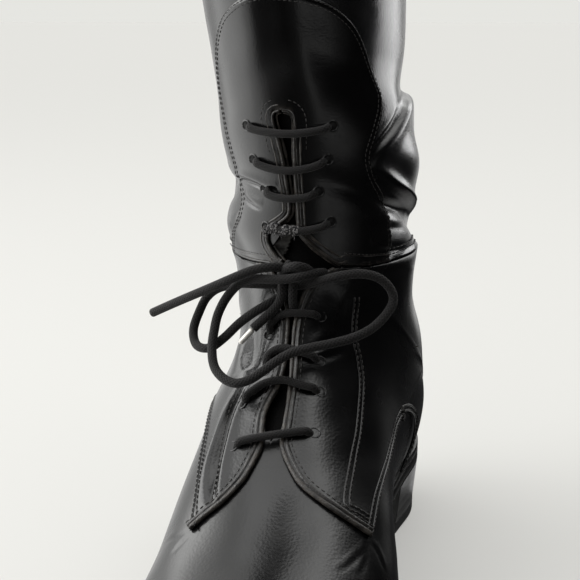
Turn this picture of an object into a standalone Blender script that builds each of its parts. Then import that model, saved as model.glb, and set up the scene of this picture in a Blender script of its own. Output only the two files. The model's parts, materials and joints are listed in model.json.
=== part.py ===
"""Tall lace-up riding boot, the right one of a pair.

The boot stands on z = 0 with its toe toward -Y and its medial side toward +X.  Every leather piece is cut from
one surface: a row of sections runs from the toe tip over the instep and up the leg, and a point of the boot is
named by its section (a row number, with fractions between rows) and its side (-1 at the lateral edge, 0 on the
crest, +1 at the medial edge; on the leg both edges meet at the back).
"""

import math

import bmesh
import bpy
import numpy as np

# Driving dimensions, in metres.
LAST_LENGTH = 0.2795          # heel back to toe tip of the last
BALL_WIDTH = 0.0992           # across the upper at the ball
SHAFT_HEIGHT = 0.4720         # floor to the front of the collar
HEEL_HEIGHT = 0.0285          # floor to the underside of the sole at the heel
TOE_SPRING = 0.0112           # floor to the underside of the sole at the toe
AXIS_TURN = math.radians(-4.0)  # brings the line from heel to toe onto the Y axis
WALL = 0.0020                 # leather and lining together
OVERLAY = 0.0013              # one layer of upper leather
LACE_RADIUS = 0.0019
CLEARANCE = 0.0003            # between pieces that rest on each other
FEATHER_GAP = 0.0006          # between the sole and the edge of the upper
OVERLAY_GAP = 0.00085         # between two curved, faceted layers
TONGUE_GAP = 0.0009
TONGUE_THICKNESS = 0.0016
SOLE_THICKNESS = 0.0085       # outsole and welt together
INSOLE_THICKNESS = 0.0025
TOP_PIECE_THICKNESS = 0.0060
HEEL_TAPER = 0.0020           # how far the heel draws in toward the floor
SEAM_HEIGHT = 0.1400          # ankle seam at the front and sides
SEAM_DROP = 0.0340            # how much lower it runs at the back
WELD = 1.0e-6

# Sections, in thousandths: lengths of the last length, heights of the shaft height, widths of the ball width.
# The edge is the feather line over the sole and the back of the leg; the crest is the ridge of the instep and shin.
SECTION_COLUMNS = ("edge_along", "edge_height", "crest_along", "crest_height", "half_width",
                   "edge_half_width", "edge_centre", "crest_centre", "edge_taper", "crest_taper")
SECTIONS = {
    "toe_tip": (1000.0, 40.3, 1000.0, 40.9, 0.0, 0.0, 199.6, 199.6, 0, -0.1),
    "toe_end": (991.8, 39.2, 993.6, 63.6, 126.0, 123.0, 197.6, 197.6, 0, -0.1),
    "toe_front": (964.2, 35.6, 955.3, 83.7, 247.0, 240.9, 190.5, 193.5, 0, -0.1),
    "toe_box": (912.3, 28.8, 899.8, 98.5, 359.9, 352.8, 177.4, 185.5, 0, -0.08),
    "toe_back": (837.2, 21.6, 830.1, 109.1, 445.6, 437.5, 157.3, 171.4, 0, -0.04),
    "ball": (744.2, 18.6, 753.1, 120.8, 496.0, 483.9, 143.0, 150.2, 0, 0),
    "vamp": (644.0, 19.5, 678.0, 138.8, 500.0, 473.8, 132.0, 112.9, 0, 0.04),
    "vamp_point": (536.7, 28.2, 613.6, 163.1, 469.8, 408.3, 88.0, 68.5, 0, 0.08),
    "waist": (429.3, 43.0, 558.1, 190.7, 431.5, 344.8, 38.0, 40.3, 0, 0.1),
    "arch": (329.2, 58.9, 511.6, 218.2, 411.3, 326.6, 6.0, 22.2, 0, 0.1),
    "heel_breast": (236.1, 71.0, 477.6, 242.6, 403.2, 338.7, 4.0, 12.1, 0, 0.1),
    "heel_seat": (143.1, 77.5, 456.2, 262.7, 407.3, 352.8, 6.0, 10.1, 0, 0.08),
    "heel_side": (68.0, 78.8, 445.4, 278.6, 407.3, 296.4, 5.0, 10.1, 0, 0.06),
    "heel_round": (25.0, 79.0, 440.1, 291.3, 405.2, 179.4, 3.0, 10.1, 0, 0.04),
    "heel_back": (10.7, 79.0, 437.2, 303.0, 405.2, 0.0, 0.0, 8.1, 0, 0.03),
    "counter": (3.6, 110.2, 434.7, 316.7, 403.2, 0.0, 0.0, 4.0, -0.06, 0.02),
    "counter_top": (17.9, 165.3, 432.9, 335.8, 399.2, 0.0, -8.1, -4.0, -0.06, 0),
    "heel_cord": (46.5, 228.8, 432.9, 359.1, 397.2, 0.0, -18.1, -14.1, -0.04, 0),
    "ankle": (68.0, 296.6, 434.7, 388.8, 397.2, 0.0, -34.3, -30.2, 0, 0),
    "shaft_low": (76.9, 370.8, 438.3, 431.1, 401.2, 0.0, -58.5, -54.4, 0, 0),
    "shaft_mid": (68.0, 455.5, 443.6, 490.5, 415.3, 0.0, -92.7, -90.7, 0, 0),
    "calf_foot": (42.9, 550.8, 454.4, 568.9, 447.6, 0.0, -131.0, -129.0, 0, 0),
    "calf_low": (17.9, 652.5, 465.1, 661.0, 494.0, 0.0, -156.2, -156.2, 0, 0),
    "calf": (3.6, 762.7, 475.8, 764.8, 536.3, 0.0, -171.4, -171.4, 0, 0),
    "calf_high": (3.6, 872.9, 483.0, 877.1, 559.5, 0.0, -181.5, -181.5, 0, 0),
    "collar": (10.7, 974.6, 486.6, 1000.0, 566.5, 0.0, -186.5, -186.5, 0, 0),
}
SECTION_NAMES = tuple(SECTIONS)
SECTION_UNITS = np.array([LAST_LENGTH, SHAFT_HEIGHT, LAST_LENGTH, SHAFT_HEIGHT, BALL_WIDTH,
                          BALL_WIDTH, BALL_WIDTH, BALL_WIDTH, 1.0, 1.0]) / 1000.0
SECTION_TABLE = np.array(list(SECTIONS.values()), dtype=float) * SECTION_UNITS
ARCH = float(SECTION_NAMES.index("arch"))
HEEL_BREAST = float(SECTION_NAMES.index("heel_breast"))
HEEL_BACK = float(SECTION_NAMES.index("heel_back"))
COLLAR = float(SECTION_NAMES.index("collar"))

# Underside of the sole: share of the last length, and height in metres.  Two rows at zero make the forefoot flat.
SOLE_LINE = (
    (0.000, HEEL_HEIGHT), (0.107, HEEL_HEIGHT - 0.0002), (0.215, 0.0258), (0.322, 0.0195), (0.429, 0.0115),
    (0.537, 0.0045), (0.615, 0.0010), (0.665, 0.0), (0.766, 0.0), (0.809, 0.0004),
    (0.877, 0.0028), (0.948, 0.0066), (1.020, TOE_SPRING),
)

# Folds of the worn ankle: side, height, tilt in degrees, half length, half width, and depth outward.
FOLD_COLUMNS = ("side", "height", "tilt", "half_length", "half_width", "depth")
FOLDS = {
    "lateral_pinch": (-0.44, 0.1680, 8.0, 0.040, 0.0075, -0.0034),
    "lateral_bulge": (-0.46, 0.1500, 4.0, 0.040, 0.0115, 0.0046),
    "lateral_upper": (-0.44, 0.1900, 10.0, 0.036, 0.0120, 0.0012),
    "medial_bulge": (0.52, 0.1780, -22.0, 0.034, 0.0130, 0.0046),
    "medial_crease": (0.46, 0.1575, -26.0, 0.032, 0.0050, -0.0038),
    "medial_second": (0.54, 0.1480, -18.0, 0.030, 0.0060, -0.0022),
    "medial_seam": (0.56, 0.1385, 0.0, 0.040, 0.0050, 0.0016),
    "medial_hollow": (0.56, 0.1160, 0.0, 0.045, 0.0140, -0.0026),
    "medial_shin": (0.50, 0.2130, -12.0, 0.045, 0.0130, -0.0026),
    "lateral_instep": (-0.50, 0.0970, 0.0, 0.050, 0.0160, -0.0022),
    "medial_counter": (0.74, 0.0660, 0.0, 0.040, 0.0200, 0.0014),
}
FOLD_GIRTH = 0.125            # half the way round the ankle, which one unit of side covers

# Openings along the crest: section, and half gap as a side value.
THROAT_GAP = ((7.9, 0.0), (8.05, 0.030), (8.6, 0.042), (9.0, 0.042), (11.0, 0.040),
              (12.5, 0.050), (14.5, 0.090), (16.0, 0.125), (17.0, 0.150))
LEG_GAP = ((13.6, 0.150), (14.2, 0.115), (14.8, 0.075), (15.4, 0.045), (16.0, 0.030), (16.6, 0.026),
           (17.8, 0.024), (18.4, 0.030), (18.7, 0.038), (18.95, 0.045), (19.1, 0.032), (19.2, 0.0))

# Edges of the overlays as (section, side), from the slit or crest outward and from the toe upward.
FACING_EDGES = {
    "facing_medial": {
        "front": ((7.30, 0.040), (7.06, 0.075), (6.73, 0.130), (6.55, 0.210), (6.48, 0.300), (6.49, 0.400),
                  (6.56, 0.500)),
        "slit": ((7.30, 0.040), (7.70, 0.034), (8.50, 0.030), (9.50, 0.028), (10.50, 0.030), (11.30, 0.042),
                 (12.40, 0.078), (13.60, 0.115), (14.80, 0.158)),
        "outer": ((6.56, 0.500), (7.44, 0.520), (8.52, 0.585), (9.62, 0.620), (10.40, 0.665), (11.50, 0.660),
                  (13.00, 0.630), (15.00, 0.600), (16.80, 0.580)),
    },
    "facing_lateral": {
        "front": ((7.25, -0.040), (6.91, -0.058), (6.50, -0.115), (6.15, -0.185), (5.86, -0.260), (5.75, -0.370)),
        "slit": ((7.25, -0.040), (7.70, -0.050), (8.30, -0.048), (9.20, -0.034), (10.50, -0.030), (11.30, -0.042),
                 (12.40, -0.078), (13.60, -0.115), (14.80, -0.158)),
        "outer": ((5.75, -0.370), (6.48, -0.380), (7.16, -0.410), (8.44, -0.510), (9.30, -0.600), (10.40, -0.665),
                  (11.50, -0.660), (13.00, -0.630), (15.00, -0.600), (16.80, -0.580)),
    },
}
PANEL_EDGES = {
    "medial": {
        "slit": ((15.00, 0.150), (15.15, 0.098), (15.40, 0.056), (15.90, 0.028), (16.60, 0.020), (17.80, 0.018),
                 (18.40, 0.024), (18.85, 0.036), (19.05, 0.028), (19.14, 0.0)),
        "outer": ((16.10, 0.345), (16.60, 0.345), (17.17, 0.345), (17.52, 0.310), (17.98, 0.268), (18.45, 0.268),
                  (18.94, 0.298), (19.32, 0.318), (19.77, 0.315), (20.12, 0.282), (20.38, 0.200), (20.50, 0.100),
                  (20.52, 0.0)),
    },
    "lateral": {
        "slit": ((15.00, -0.150), (15.15, -0.098), (15.40, -0.056), (15.90, -0.028), (16.60, -0.020),
                 (17.80, -0.018), (18.40, -0.024), (18.85, -0.036), (19.05, -0.028), (19.14, 0.0)),
        "outer": ((16.10, -0.330), (16.52, -0.280), (17.00, -0.232), (17.41, -0.225), (17.81, -0.235),
                  (18.43, -0.250), (19.06, -0.278), (19.56, -0.300), (19.94, -0.268), (20.20, -0.220),
                  (20.40, -0.140), (20.50, -0.060), (20.52, 0.0)),
    },
}

# Tongue: section, and half width as a side value.
TONGUE_WIDTH = ((7.2, 0.16), (9.0, 0.20), (11.0, 0.24), (13.0, 0.28), (15.0, 0.27), (17.0, 0.22), (19.6, 0.20))

# Lace bars: section and side of the lateral and the medial eyelet, and how far the middle hangs, in sections.
BAR_COLUMNS = ("lateral_section", "lateral_side", "medial_section", "medial_side", "droop")
BARS = {
    "lace_bar_leg_1": (18.82, -0.120, 18.86, 0.150, 0.22),
    "lace_bar_leg_2": (18.11, -0.115, 18.20, 0.130, 0.24),
    "lace_bar_leg_3": (17.35, -0.095, 17.33, 0.095, 0.24),
    "lace_bar_leg_4": (16.10, -0.090, 16.30, 0.120, 0.10),
    "lace_bar_foot_1": (10.75, -0.130, 10.90, 0.150, 0.06),
    "lace_bar_foot_2": (9.40, -0.130, 9.50, 0.155, 0.08),
    "lace_bar_foot_3": (8.35, -0.150, 8.55, 0.165, 0.05),
    "lace_bar_foot_4": (7.40, -0.150, 7.60, 0.175, 0.03),
}

# Bow in front of the ankle notch: knot, the strands that drop from it, and the routes of loops and ends.
# A route's points are (medial, along from the heel back, height), in metres.
KNOT_CENTRE = (0.0041, 0.1316, 0.1403)
KNOT_HALF = (0.0070, 0.0040, 0.0042)
DROP_RADIUS = 0.0026
TIP_RADIUS = 0.0017
ROUTES = {
    "lace_knot_drop": ((0.0030, 0.1338, 0.1360), (0.0033, 0.1352, 0.1317), (0.0036, 0.1363, 0.1281)),
    "lace_loop_long": (
        (-0.0034, 0.1333, 0.1377), (-0.0080, 0.1335, 0.1379), (-0.0139, 0.1331, 0.1376), (-0.0197, 0.1330, 0.1348),
        (-0.0247, 0.1339, 0.1291), (-0.0275, 0.1364, 0.1226), (-0.0277, 0.1404, 0.1167), (-0.0267, 0.1456, 0.1105),
        (-0.0236, 0.1510, 0.1048), (-0.0182, 0.1551, 0.1017), (-0.0120, 0.1571, 0.1008), (-0.0066, 0.1560, 0.1025),
        (-0.0018, 0.1534, 0.1058), (0.0033, 0.1503, 0.1098), (0.0088, 0.1473, 0.1128), (0.0158, 0.1442, 0.1146),
        (0.0232, 0.1406, 0.1160), (0.0306, 0.1357, 0.1178), (0.0366, 0.1300, 0.1208), (0.0408, 0.1242, 0.1256),
        (0.0424, 0.1208, 0.1305), (0.0406, 0.1207, 0.1354), (0.0363, 0.1225, 0.1395), (0.0308, 0.1253, 0.1414),
        (0.0234, 0.1287, 0.1408), (0.0171, 0.1309, 0.1393), (0.0117, 0.1320, 0.1385)),
    "lace_loop_short": (
        (-0.0006, 0.1322, 0.1336), (-0.0092, 0.1305, 0.1343), (-0.0219, 0.1275, 0.1336), (-0.0316, 0.1254, 0.1305),
        (-0.0371, 0.1252, 0.1262), (-0.0397, 0.1271, 0.1206), (-0.0400, 0.1312, 0.1142), (-0.0379, 0.1358, 0.1095),
        (-0.0338, 0.1391, 0.1078), (-0.0300, 0.1391, 0.1096), (-0.0260, 0.1369, 0.1140), (-0.0193, 0.1357, 0.1190),
        (-0.0109, 0.1346, 0.1244), (-0.0003, 0.1340, 0.1288)),
    "lace_end_plain": (
        (-0.0036, 0.1326, 0.1428), (-0.0070, 0.1340, 0.1425), (-0.0127, 0.1358, 0.1416), (-0.0194, 0.1369, 0.1389),
        (-0.0269, 0.1364, 0.1352), (-0.0350, 0.1348, 0.1312), (-0.0435, 0.1324, 0.1270), (-0.0524, 0.1296, 0.1225),
        (-0.0630, 0.1263, 0.1170)),
    "lace_end_tipped": ((0.0002, 0.1383, 0.1278), (-0.0049, 0.1396, 0.1235), (-0.0092, 0.1413, 0.1196),
                        (-0.0112, 0.1422, 0.1176)),
    "lace_tip": ((-0.0114, 0.1423, 0.1174), (-0.0154, 0.1441, 0.1134)),
}


def smooth_rows(table, position):
    """Read a table at fractional rows along a smooth curve through its rows."""
    table = np.asarray(table, dtype=float)
    position = np.clip(np.asarray(position, dtype=float), 0.0, len(table) - 1.0)
    row = np.minimum(position.astype(int), len(table) - 2)
    part = (position - row)[..., None]
    padded = np.vstack([2.0 * table[0] - table[1], table, 2.0 * table[-1] - table[-2]])
    before, start, end, after = (padded[row + step] for step in range(4))
    linear = end - before
    square = 2.0 * before - 5.0 * start + 4.0 * end - after
    cube = 3.0 * start - before - 3.0 * end + after
    return 0.5 * (2.0 * start + linear * part + square * part ** 2 + cube * part ** 3)


def sole_line(along):
    """Height of the sole's underside at a distance from the heel back."""
    share, height = np.array(SOLE_LINE).T
    place = share * LAST_LENGTH
    slope = np.gradient(height, place)
    level = np.flatnonzero(np.diff(height) == 0.0)
    slope[level] = 0.0
    slope[level + 1] = 0.0
    along = np.clip(np.asarray(along, dtype=float), place[0], place[-1])
    row = np.clip(np.searchsorted(place, along, side="right") - 1, 0, len(place) - 2)
    step = place[row + 1] - place[row]
    part = (along - place[row]) / step
    rise = (3.0 - 2.0 * part) * part ** 2
    start_pull = part * (1.0 - part) ** 2 * step * slope[row]
    end_pull = part ** 2 * (part - 1.0) * step * slope[row + 1]
    return height[row] * (1.0 - rise) + height[row + 1] * rise + start_pull + end_pull


def base_point(section, side):
    """Point of the outer leather surface before folds."""
    section, side = np.broadcast_arrays(np.asarray(section, dtype=float), np.asarray(side, dtype=float))
    row = dict(zip(SECTION_COLUMNS, np.moveaxis(smooth_rows(SECTION_TABLE, section), -1, 0)))
    on_sole = section <= HEEL_BACK
    feather = sole_line(row["edge_along"]) + SOLE_THICKNESS + FEATHER_GAP
    edge_height = np.where(on_sole, feather, row["edge_height"])
    width = np.maximum(row["half_width"], WELD)
    open_share = np.where(on_sole, np.clip(row["edge_half_width"] / width, 0.0, 1.0), 0.0)
    tuck = np.sqrt(1.0 - open_share ** 2)
    angle = side * (math.pi / 2.0 + np.arcsin(tuck))
    rise = (np.cos(angle) + tuck) / (1.0 + tuck)
    taper = np.where(np.cos(angle) > 0.0, row["crest_taper"], row["edge_taper"])
    across = width * np.sin(angle) * (1.0 - taper * np.cos(angle) ** 2)
    along = row["edge_along"] + (row["crest_along"] - row["edge_along"]) * rise
    height = edge_height + (row["crest_height"] - edge_height) * rise
    centre = row["edge_centre"] + (row["crest_centre"] - row["edge_centre"]) * rise
    return np.stack([centre + across, -along, height], axis=-1)


def base_normal(section, side):
    """Outward direction of the surface; forward at the toe tip, where the sections close."""
    section, side = np.broadcast_arrays(np.asarray(section, dtype=float), np.asarray(side, dtype=float))
    up = base_point(section + 2e-3, side) - base_point(section - 2e-3, side)
    round_leg = base_point(section, side + 2e-4) - base_point(section, side - 2e-4)
    normal = np.cross(round_leg, up)
    size = np.linalg.norm(normal, axis=-1, keepdims=True)
    return np.where(size > 1e-14, normal / np.maximum(size, 1e-14), np.array([0.0, -1.0, 0.0]))


def fold_relief(point, side):
    """How far the ankle folds push the surface out at a point."""
    relief = np.zeros(side.shape)
    for values in FOLDS.values():
        fold = dict(zip(FOLD_COLUMNS, values))
        tilt = math.radians(fold["tilt"])
        round_way = (side - fold["side"]) * FOLD_GIRTH
        up_way = point[..., 2] - fold["height"]
        lengthwise = (round_way * math.cos(tilt) + up_way * math.sin(tilt)) / fold["half_length"]
        crosswise = (up_way * math.cos(tilt) - round_way * math.sin(tilt)) / fold["half_width"]
        relief = relief + fold["depth"] * np.exp(-lengthwise ** 2 - crosswise ** 2)
    return relief


def boot_point(section, side, offset=0.0):
    """Point at an offset outward from the folded leather surface."""
    section, side = np.broadcast_arrays(np.asarray(section, dtype=float), np.asarray(side, dtype=float))
    point = base_point(section, side)
    lift = fold_relief(point, side) + offset
    return point + base_normal(section, side) * lift[..., None]


def seam_section(side, lift=0.0):
    """Section at which the ankle seam crosses a side value, found by halving."""
    side = np.asarray(side, dtype=float)
    share = np.clip((np.abs(side) - 0.55) / 0.45, 0.0, 1.0)
    target = SEAM_HEIGHT + lift - SEAM_DROP * share ** 2 * (3.0 - 2.0 * share)
    low = np.full(side.shape, ARCH)
    high = np.full(side.shape, COLLAR)
    for _ in range(40):
        middle = 0.5 * (low + high)
        below = base_point(middle, side)[..., 2] < target
        low = np.where(below, middle, low)
        high = np.where(below, high, middle)
    return 0.5 * (low + high)


def half_gap(table, position):
    """Half gap of an opening at a section."""
    place, gap = np.array(table).T
    return np.interp(position, place, gap, left=0.0 if gap[0] == 0.0 else gap[0], right=gap[-1])


def side_columns(gap, count):
    """Side values of the lateral and the medial half of a row that opens by a half gap."""
    share = np.linspace(0.0, 1.0, count)
    medial = gap[:, None] + (1.0 - gap[:, None]) * share
    return -medial[:, ::-1], medial


def curve_through(points, count):
    """Evenly spaced (section, side) points along a smooth curve on the boot."""
    dense = smooth_rows(points, np.linspace(0.0, len(points) - 1.0, 160))
    steps = np.linalg.norm(np.diff(base_point(dense[:, 0], dense[:, 1]), axis=0), axis=1)
    length = np.concatenate([[0.0], np.cumsum(steps)])
    target = np.linspace(0.0, length[-1], count)
    return np.stack([np.interp(target, length, dense[:, k]) for k in range(2)], axis=-1)


def patch_between(front, outer, slit, back):
    """Fill four edge curves: front and back run outward from the slit, slit and outer run upward."""
    across = np.linspace(0.0, 1.0, len(front))[None, :, None]
    upward = np.linspace(0.0, 1.0, len(slit))[:, None, None]
    ruled = (1.0 - upward) * front[None] + upward * back[None]
    lofted = (1.0 - across) * slit[:, None] + across * outer[:, None]
    corners = ((1.0 - upward) * ((1.0 - across) * front[0] + across * front[-1])
               + upward * ((1.0 - across) * back[0] + across * back[-1]))
    return ruled + lofted - corners


def leather(name, colour, roughness, metallic=0.0):
    """Plain finish for a piece."""
    material = bpy.data.materials.new(name)
    material.use_nodes = True
    shader = material.node_tree.nodes["Principled BSDF"]
    shader.inputs["Base Color"].default_value = (*colour, 1.0)
    shader.inputs["Roughness"].default_value = roughness
    shader.inputs["Metallic"].default_value = metallic
    return material


def add_object(name, data, material, root):
    """Put a mesh or curve in the scene under the boot's root."""
    item = bpy.data.objects.new(name, data)
    item.data.materials.append(material)
    item.parent = root
    bpy.context.collection.objects.link(item)
    return item


def finish_mesh(name, bm, material, root):
    """Turn a bmesh into a smooth-shaded object."""
    mesh = bpy.data.meshes.new(name)
    bm.to_mesh(mesh)
    bm.free()
    mesh.shade_smooth()
    return add_object(name, mesh, material, root)


def sheet(name, grids, material, root):
    """Skin pairs of outer and inner grids into one wall, welded where the outer grids share edges."""
    bm = bmesh.new()
    inner_place = bm.verts.layers.float_vector.new("inner_place")
    for outer, inner in grids:
        rows = [[bm.verts.new(point) for point in row] for row in outer]
        for row, places in zip(rows, inner):
            for vert, place in zip(row, places):
                vert[inner_place] = place
        for lower, upper in zip(rows[:-1], rows[1:]):
            for j in range(len(lower) - 1):
                bm.faces.new((lower[j], lower[j + 1], upper[j + 1], upper[j]))
    bmesh.ops.remove_doubles(bm, verts=bm.verts[:], dist=WELD)
    extruded = bmesh.ops.extrude_face_region(bm, geom=bm.faces[:], use_keep_orig=True)
    for vert in extruded["geom"]:
        if isinstance(vert, bmesh.types.BMVert):
            vert.co = vert[inner_place]
    bmesh.ops.recalc_face_normals(bm, faces=bm.faces[:])
    return finish_mesh(name, bm, material, root)


def layer(section, side, outer, inner):
    """Outer and inner grid of a layer between two offsets from the leather surface."""
    return boot_point(section, side, outer), boot_point(section, side, inner)


def stack(name, loops, material, root):
    """Close a pile of loops, each from the lateral front round the back to the medial front."""
    bm = bmesh.new()
    rings = [[bm.verts.new(point) for point in loop] for loop in loops]
    count = len(rings[0])
    for lower, upper in zip(rings[:-1], rings[1:]):
        for i in range(count):
            j = (i + 1) % count
            bm.faces.new((lower[j], lower[i], upper[i], upper[j]))
    for ring, faces_up in ((rings[0], False), (rings[-1], True)):
        for i in range(count // 2):
            rung = [ring[i], ring[i + 1], ring[count - 2 - i], ring[count - 1 - i]]
            rung = list(dict.fromkeys(rung))
            bm.faces.new(rung[::-1] if faces_up else rung)
    bmesh.ops.remove_doubles(bm, verts=bm.verts[:], dist=WELD)
    bmesh.ops.recalc_face_normals(bm, faces=bm.faces[:])
    return finish_mesh(name, bm, material, root)


def tube(name, points, radius, material, root):
    """Round cord along points."""
    curve = bpy.data.curves.new(name, "CURVE")
    curve.dimensions = "3D"
    curve.bevel_depth = radius
    curve.bevel_resolution = 2
    curve.use_fill_caps = True
    spline = curve.splines.new("POLY")
    spline.points.add(len(points) - 1)
    spline.points.foreach_set("co", np.column_stack([points, np.ones(len(points))]).ravel())
    return add_object(name, curve, material, root)


def make_upper(material, root):
    """Vamp, quarters and counter: open below, at the throat and at the ankle."""
    toe_rows = np.concatenate([[0.0, 0.3, 0.65], np.arange(1.0, ARCH, 0.5)])
    top_rows = np.concatenate([np.linspace(0.0, 1.0, 6)[:-1] * 5.0, [5.0, 5.9, 6.9]])
    edge_top = float(seam_section(1.0))
    top_share = np.append(top_rows / (edge_top - ARCH), 1.0)
    row_place = np.concatenate([toe_rows, ARCH + 8.0 * top_share])
    halves = []
    for side in side_columns(half_gap(THROAT_GAP, row_place), 15):
        top = seam_section(side[len(toe_rows):])
        section = np.vstack([np.repeat(toe_rows[:, None], side.shape[1], axis=1),
                             ARCH + (top - ARCH) * top_share[:, None]])
        halves.append(layer(section, side, 0.0, -WALL))
    return sheet("upper", halves, material, root)


def make_shaft(material, root):
    """Leg tube: open at the collar and along the front slit down to the ankle notch."""
    front = float(seam_section(0.0))
    rows = np.concatenate([np.arange(front, 19.0, 0.34), [19.1, 19.2, 19.7, 20.4, 21.2, 22.2, 23.2, 24.2, COLLAR]])
    share = (rows - front) / (COLLAR - front)
    halves = []
    for side in side_columns(half_gap(LEG_GAP, rows), 15):
        bottom = seam_section(side, CLEARANCE)
        section = bottom + (COLLAR - bottom) * share[:, None]
        halves.append(layer(section, side, 0.0, -WALL))
    return sheet("shaft", halves, material, root)


def make_tongue(material, root):
    """Sheet behind both lacings."""
    place, width = np.array(TONGUE_WIDTH).T
    rows = np.linspace(place[0], place[-1], 25)
    side = np.interp(rows, place, width)[:, None] * np.linspace(-1.0, 1.0, 9)
    section = np.repeat(rows[:, None], side.shape[1], axis=1)
    depth = -WALL - TONGUE_GAP
    return sheet("tongue", [layer(section, side, depth, depth - TONGUE_THICKNESS)], material, root)


def make_facing(name, material, root):
    """Open-fronted quarter over the instep, from the curved front edge to the ankle seam."""
    edges = FACING_EDGES[name]
    front = curve_through(edges["front"], 9)
    slit = curve_through(edges["slit"], 16)
    outer = curve_through(edges["outer"], 16)
    side = np.linspace(slit[-1, 1], outer[-1, 1], 9)
    back = np.stack([seam_section(side, -CLEARANCE), side], axis=-1)
    slit[-1] = back[0]
    outer[-1] = back[-1]
    patch = patch_between(front, outer, slit, back)
    if name == "facing_lateral":
        patch = patch[:, ::-1]
    cut = layer(patch[..., 0], patch[..., 1], OVERLAY_GAP + OVERLAY, OVERLAY_GAP)
    return sheet(name, [cut], material, root)


def make_panel(material, root):
    """Round-topped front panel of the leg, slit in the middle."""
    halves = []
    for half, edges in PANEL_EDGES.items():
        slit = curve_through(edges["slit"], 18)
        outer = curve_through(edges["outer"], 18)
        side = np.linspace(slit[0, 1], outer[0, 1], 8)
        front = np.stack([seam_section(side, 2.0 * CLEARANCE), side], axis=-1)
        slit[0] = front[0]
        outer[0] = front[-1]
        middle = np.stack([np.linspace(slit[-1, 0], outer[-1, 0], 8), np.zeros(8)], axis=-1)
        patch = patch_between(front, outer, slit, middle)
        if half == "lateral":
            patch = patch[:, ::-1]
        halves.append(layer(patch[..., 0], patch[..., 1], OVERLAY_GAP + OVERLAY, OVERLAY_GAP))
    return sheet("shaft_facing", halves, material, root)


def sole_loop(sections, margin):
    """Outline beside the feather line: lateral side to the heel back, then the medial side forward."""
    lateral = base_point(sections, -1.0)[:, :2]
    medial = base_point(sections, 1.0)[::-1, :2][1:]
    loop = np.vstack([lateral, medial])
    ahead = np.roll(loop, -1, axis=0)
    behind = np.roll(loop, 1, axis=0)
    if sections[0] == 0.0:
        ahead[-1] = loop[1]
        behind[0] = loop[-2]
    else:
        behind[0] = 2.0 * loop[0] - loop[1]
        ahead[-1] = 2.0 * loop[-1] - loop[-2]
    run = ahead - behind
    run /= np.linalg.norm(run, axis=1, keepdims=True)
    out = np.stack([-run[:, 1], run[:, 0]], axis=-1)
    widths = np.concatenate([margin, margin[::-1][1:]])
    return loop + out * widths[:, None]


def sole_margin(sections):
    """How far the sole stands out past the upper: widest round the toe, close at waist and heel."""
    return np.interp(sections, [0.0, 4.0, 6.0, 8.0, 10.0, HEEL_BACK], [0.0045, 0.0042, 0.0036, 0.0024, 0.0016, 0.0016])


def make_sole(material, root):
    """Outsole with the welt as a step in its side."""
    sections = np.concatenate([[0.0, 0.3, 0.65], np.arange(1.0, HEEL_BACK - 1.0, 0.5), [13.0, 13.35, 13.7, HEEL_BACK]])
    steps = ((0.0008, 0.0), (0.0, 0.0010), (0.0, 0.0046), (0.0011, 0.0050), (0.0011, 0.0054),
             (0.0, 0.0058), (0.0, 0.0079), (0.0006, SOLE_THICKNESS))
    loops = []
    for inset, lift in steps:
        outline = sole_loop(sections, sole_margin(sections) - inset)
        height = sole_line(-outline[:, 1]) + lift
        loops.append(np.column_stack([outline, height]))
    return stack("outsole", loops, material, root)


def make_heel(material, rubber, root):
    """Heel block under the seat, drawing in toward the floor, and its top piece."""
    sections = np.concatenate([np.arange(HEEL_BREAST, HEEL_BACK - 1.0, 0.5), [13.0, 13.35, 13.7, HEEL_BACK]])
    upper = sole_loop(sections, sole_margin(sections))
    lower = sole_loop(sections, sole_margin(sections) - HEEL_TAPER)
    top = np.column_stack([upper, sole_line(-upper[:, 1]) - CLEARANCE])
    bottom = np.column_stack([lower, np.full(len(lower), TOP_PIECE_THICKNESS + CLEARANCE)])
    loops = [bottom + (top - bottom) * share for share in (0.0, 0.33, 0.67, 1.0)]
    heel = stack("heel_block", loops, material, root)
    floor = sole_loop(sections, sole_margin(sections) - HEEL_TAPER - 0.0006)
    loops = [np.column_stack([floor, np.zeros(len(floor))]),
             np.column_stack([lower, np.full(len(lower), 0.0008)]),
             np.column_stack([lower, np.full(len(lower), TOP_PIECE_THICKNESS)])]
    return heel, stack("heel_top_piece", loops, rubber, root)


def make_insole(material, root):
    """Insole on the sole, inside the upper's wall."""
    sections = np.concatenate([[0.0, 0.35, 0.7], np.arange(1.0, HEEL_BACK - 1.0, 0.5), [13.0, 13.5, HEEL_BACK]])
    loops = []
    for inset, lift in ((0.0040, 0.0), (0.0042, 0.6 * INSOLE_THICKNESS), (0.0052, INSOLE_THICKNESS)):
        outline = sole_loop(sections, np.full(len(sections), -inset))
        height = sole_line(-outline[:, 1]) + SOLE_THICKNESS + CLEARANCE + lift
        loops.append(np.column_stack([outline, height]))
    return stack("insole", loops, material, root)


def make_bars(material, root):
    """Lace bars across both slits, lying on the facings."""
    bars = []
    lift = OVERLAY_GAP + OVERLAY + CLEARANCE + LACE_RADIUS
    share = np.linspace(0.0, 1.0, 9)
    for name, values in BARS.items():
        bar = dict(zip(BAR_COLUMNS, values))
        section = bar["lateral_section"] + (bar["medial_section"] - bar["lateral_section"]) * share
        section = section - bar["droop"] * 4.0 * share * (1.0 - share)
        side = bar["lateral_side"] + (bar["medial_side"] - bar["lateral_side"]) * share
        bars.append(tube(name, boot_point(section, side, lift), LACE_RADIUS, material, root))
    return bars


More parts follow.
